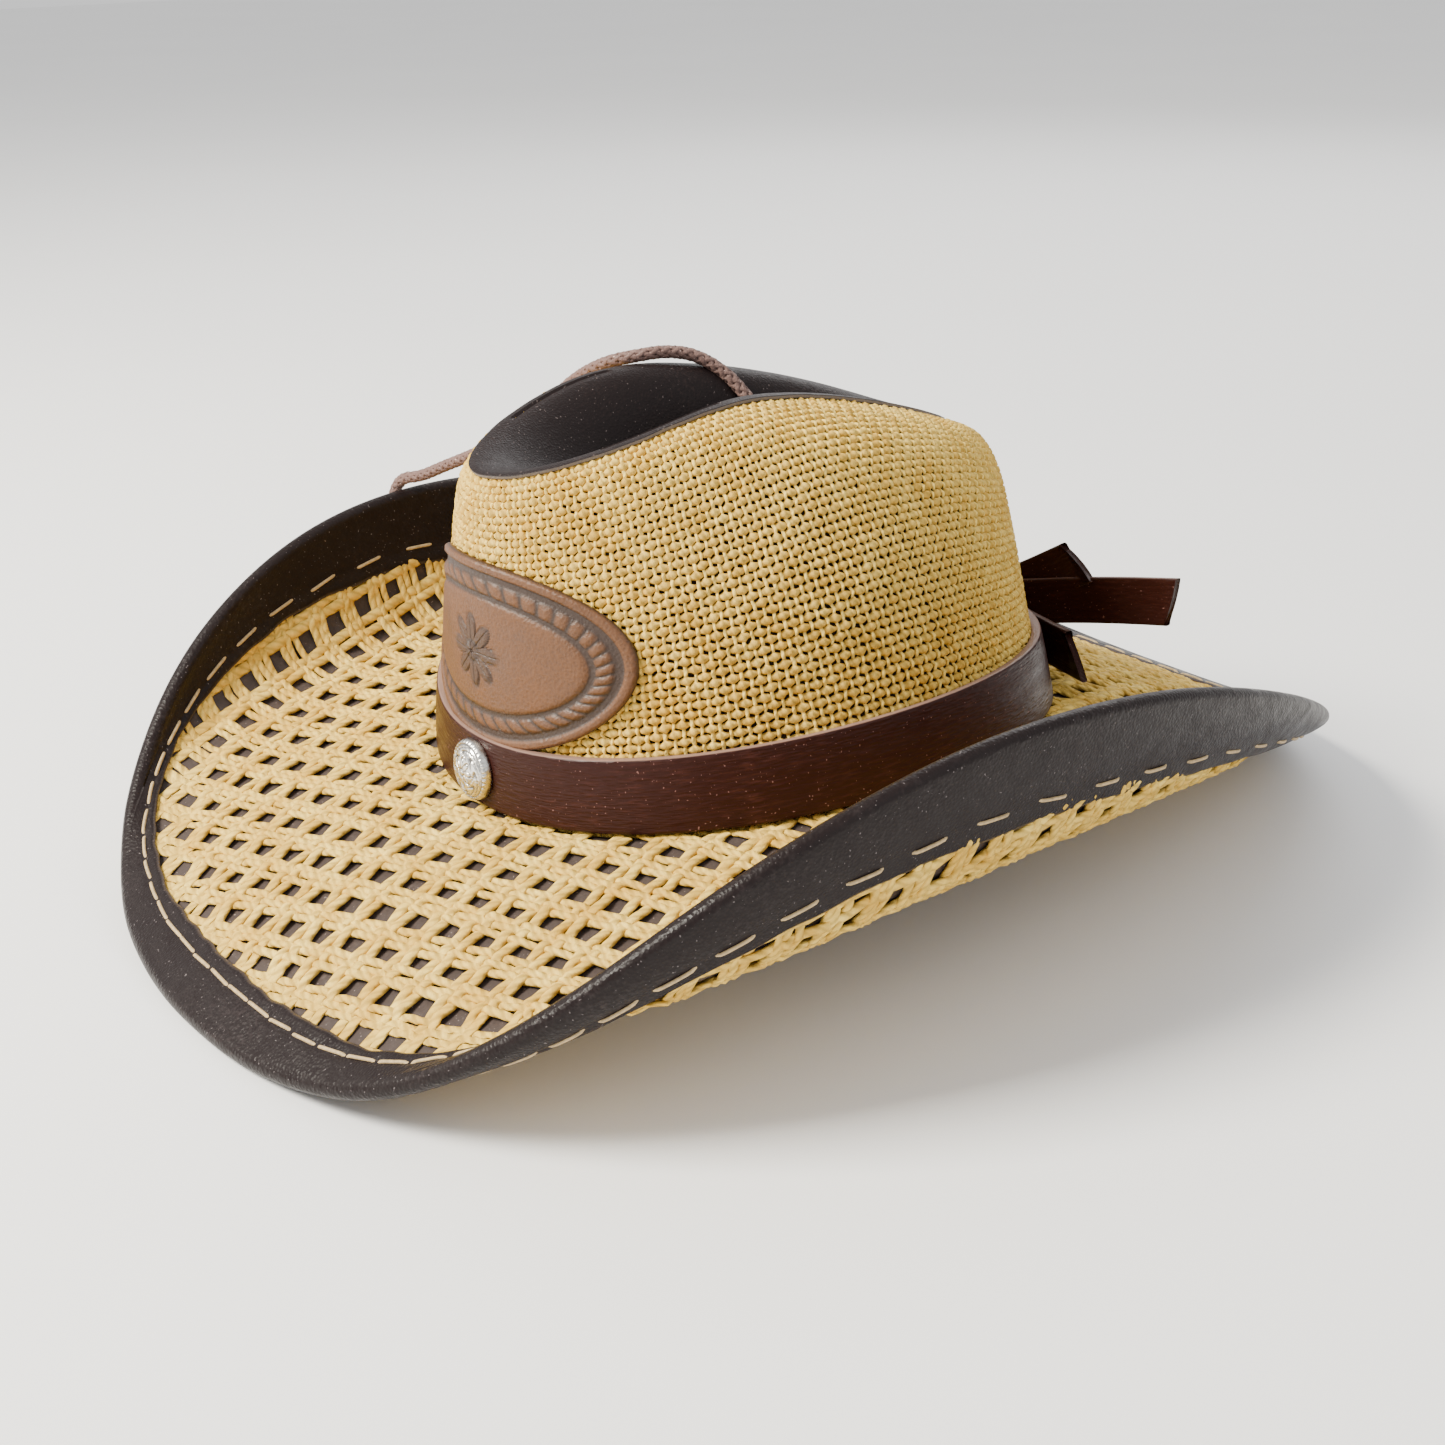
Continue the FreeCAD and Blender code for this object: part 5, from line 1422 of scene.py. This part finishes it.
class HAT_OT_stud(Maker, bpy.types.Operator):
    """Makes the engraved metal stud"""

    bl_idname = "hat.stud"
    bl_label = "Stud"

    def make(self):
        """A dome, height H (1 - r^2)^0.6, with a beaded rim, a ring of scrolls and a flower cut
        into it by waves of the angle."""
        radius, high = sizes().stud_diameter / 2, sizes().stud_height
        r = np.concatenate([np.linspace(0.02, 0.86, 34), np.linspace(0.88, 1.0, 9)])
        angle = np.arange(256) / 256 * TAU
        rr, aa = np.meshgrid(r, angle, indexing="ij")
        dome = 1.2 * MM + (high - 1.2 * MM) * np.clip(1 - rr**2, 0, 1) ** 0.6
        petal = 0.16 + 0.30 * np.abs(np.cos(4 * aa)) ** 0.8
        cut = np.exp(-(((rr - petal) / 0.035) ** 2)) + np.exp(-(((rr - 0.12) / 0.03) ** 2))
        scroll = np.sin(8 * aa + 9 * np.sin((rr - 0.46) * 9))
        belt = np.clip((rr - 0.5) / 0.05, 0, 1) * np.clip((0.84 - rr) / 0.05, 0, 1)
        cut = cut + belt * np.clip(scroll * 1.6 - 0.35, 0, 1)
        cut = cut + np.exp(-(((rr - 0.86) / 0.02) ** 2))
        bead = np.abs(np.sin(18 * aa)) * np.exp(-(((rr - 0.935) / 0.05) ** 2))
        height = dome - 0.42 * MM * np.clip(cut, 0, 1) + 0.30 * MM * bead
        height[-1] = 0.5 * MM
        centre = band_place(0.0, sizes().band_width / 2, sizes().band_thickness + 0.1 * MM)
        inner = band_place(0.0, sizes().band_width / 2, 0.0)
        facing = unit(centre - inner)
        across = np.array([1.0, 0, 0])
        upward = np.cross(across, facing)
        flat = (across * np.cos(aa)[..., None] + upward * np.sin(aa)[..., None]) * radius
        grid = centre + flat * rr[..., None] + facing * height[..., None]
        base = centre + flat[-1] * np.linspace(1, 0.05, 4)[:, None, None]
        grid = np.concatenate([grid, base])
        mark = np.concatenate([np.clip(cut + (1 - bead) * (rr > 0.89) * 0.5, 0, 1) * 0.85,
                               np.zeros((4, 256))])
        net = Net()
        net.add(grid, np.arange(len(grid)) * 0.001, np.linspace(0, 0.06, 257), mark=mark)
        finish = metal("stud_silver", colours().silver, (0.10, 0.09, 0.08))
        net.build("engraved_stud", finish, "stud_metal", ["stud"])


# ---------------------------------------------------------------- add-on
OPERATORS = (
    HAT_OT_stage,
    HAT_OT_lace,
    HAT_OT_crown_weave,
    HAT_OT_crown_lining,
    HAT_OT_top_leather,
    HAT_OT_badge,
    HAT_OT_brim_core,
    HAT_OT_brim_weave,
    HAT_OT_binding,
    HAT_OT_binding_stitches,
    HAT_OT_band,
    HAT_OT_tails,
    HAT_OT_stud,
)


class HAT_PT_panel(bpy.types.Panel):
    """Lists the hat's makers and settings"""

    bl_idname = "HAT_PT_panel"
    bl_label = "Woven hat"
    bl_space_type = "VIEW_3D"
    bl_region_type = "UI"
    bl_category = "Hat"

    def draw(self, context):
        for operator in OPERATORS:
            self.layout.operator(operator.bl_idname)
        for group in (context.scene.hat_sizes, context.scene.hat_colours):
            box = self.layout.box()
            for name in group.bl_rna.properties.keys():
                if name not in ("rna_type", "name"):
                    box.prop(group, name)


def register():
    for group in (HatSizes, HatColours, *OPERATORS, HAT_PT_panel):
        bpy.utils.register_class(group)
    bpy.types.Scene.hat_sizes = PointerProperty(type=HatSizes)
    bpy.types.Scene.hat_colours = PointerProperty(type=HatColours)


def unregister():
    del bpy.types.Scene.hat_sizes
    del bpy.types.Scene.hat_colours
    for group in reversed((HatSizes, HatColours, *OPERATORS, HAT_PT_panel)):
        bpy.utils.unregister_class(group)


def main():
    register()
    for operator in OPERATORS:
        getattr(bpy.ops.hat, operator.bl_idname.split(".")[1])()


if __name__ == "__main__":
    main()
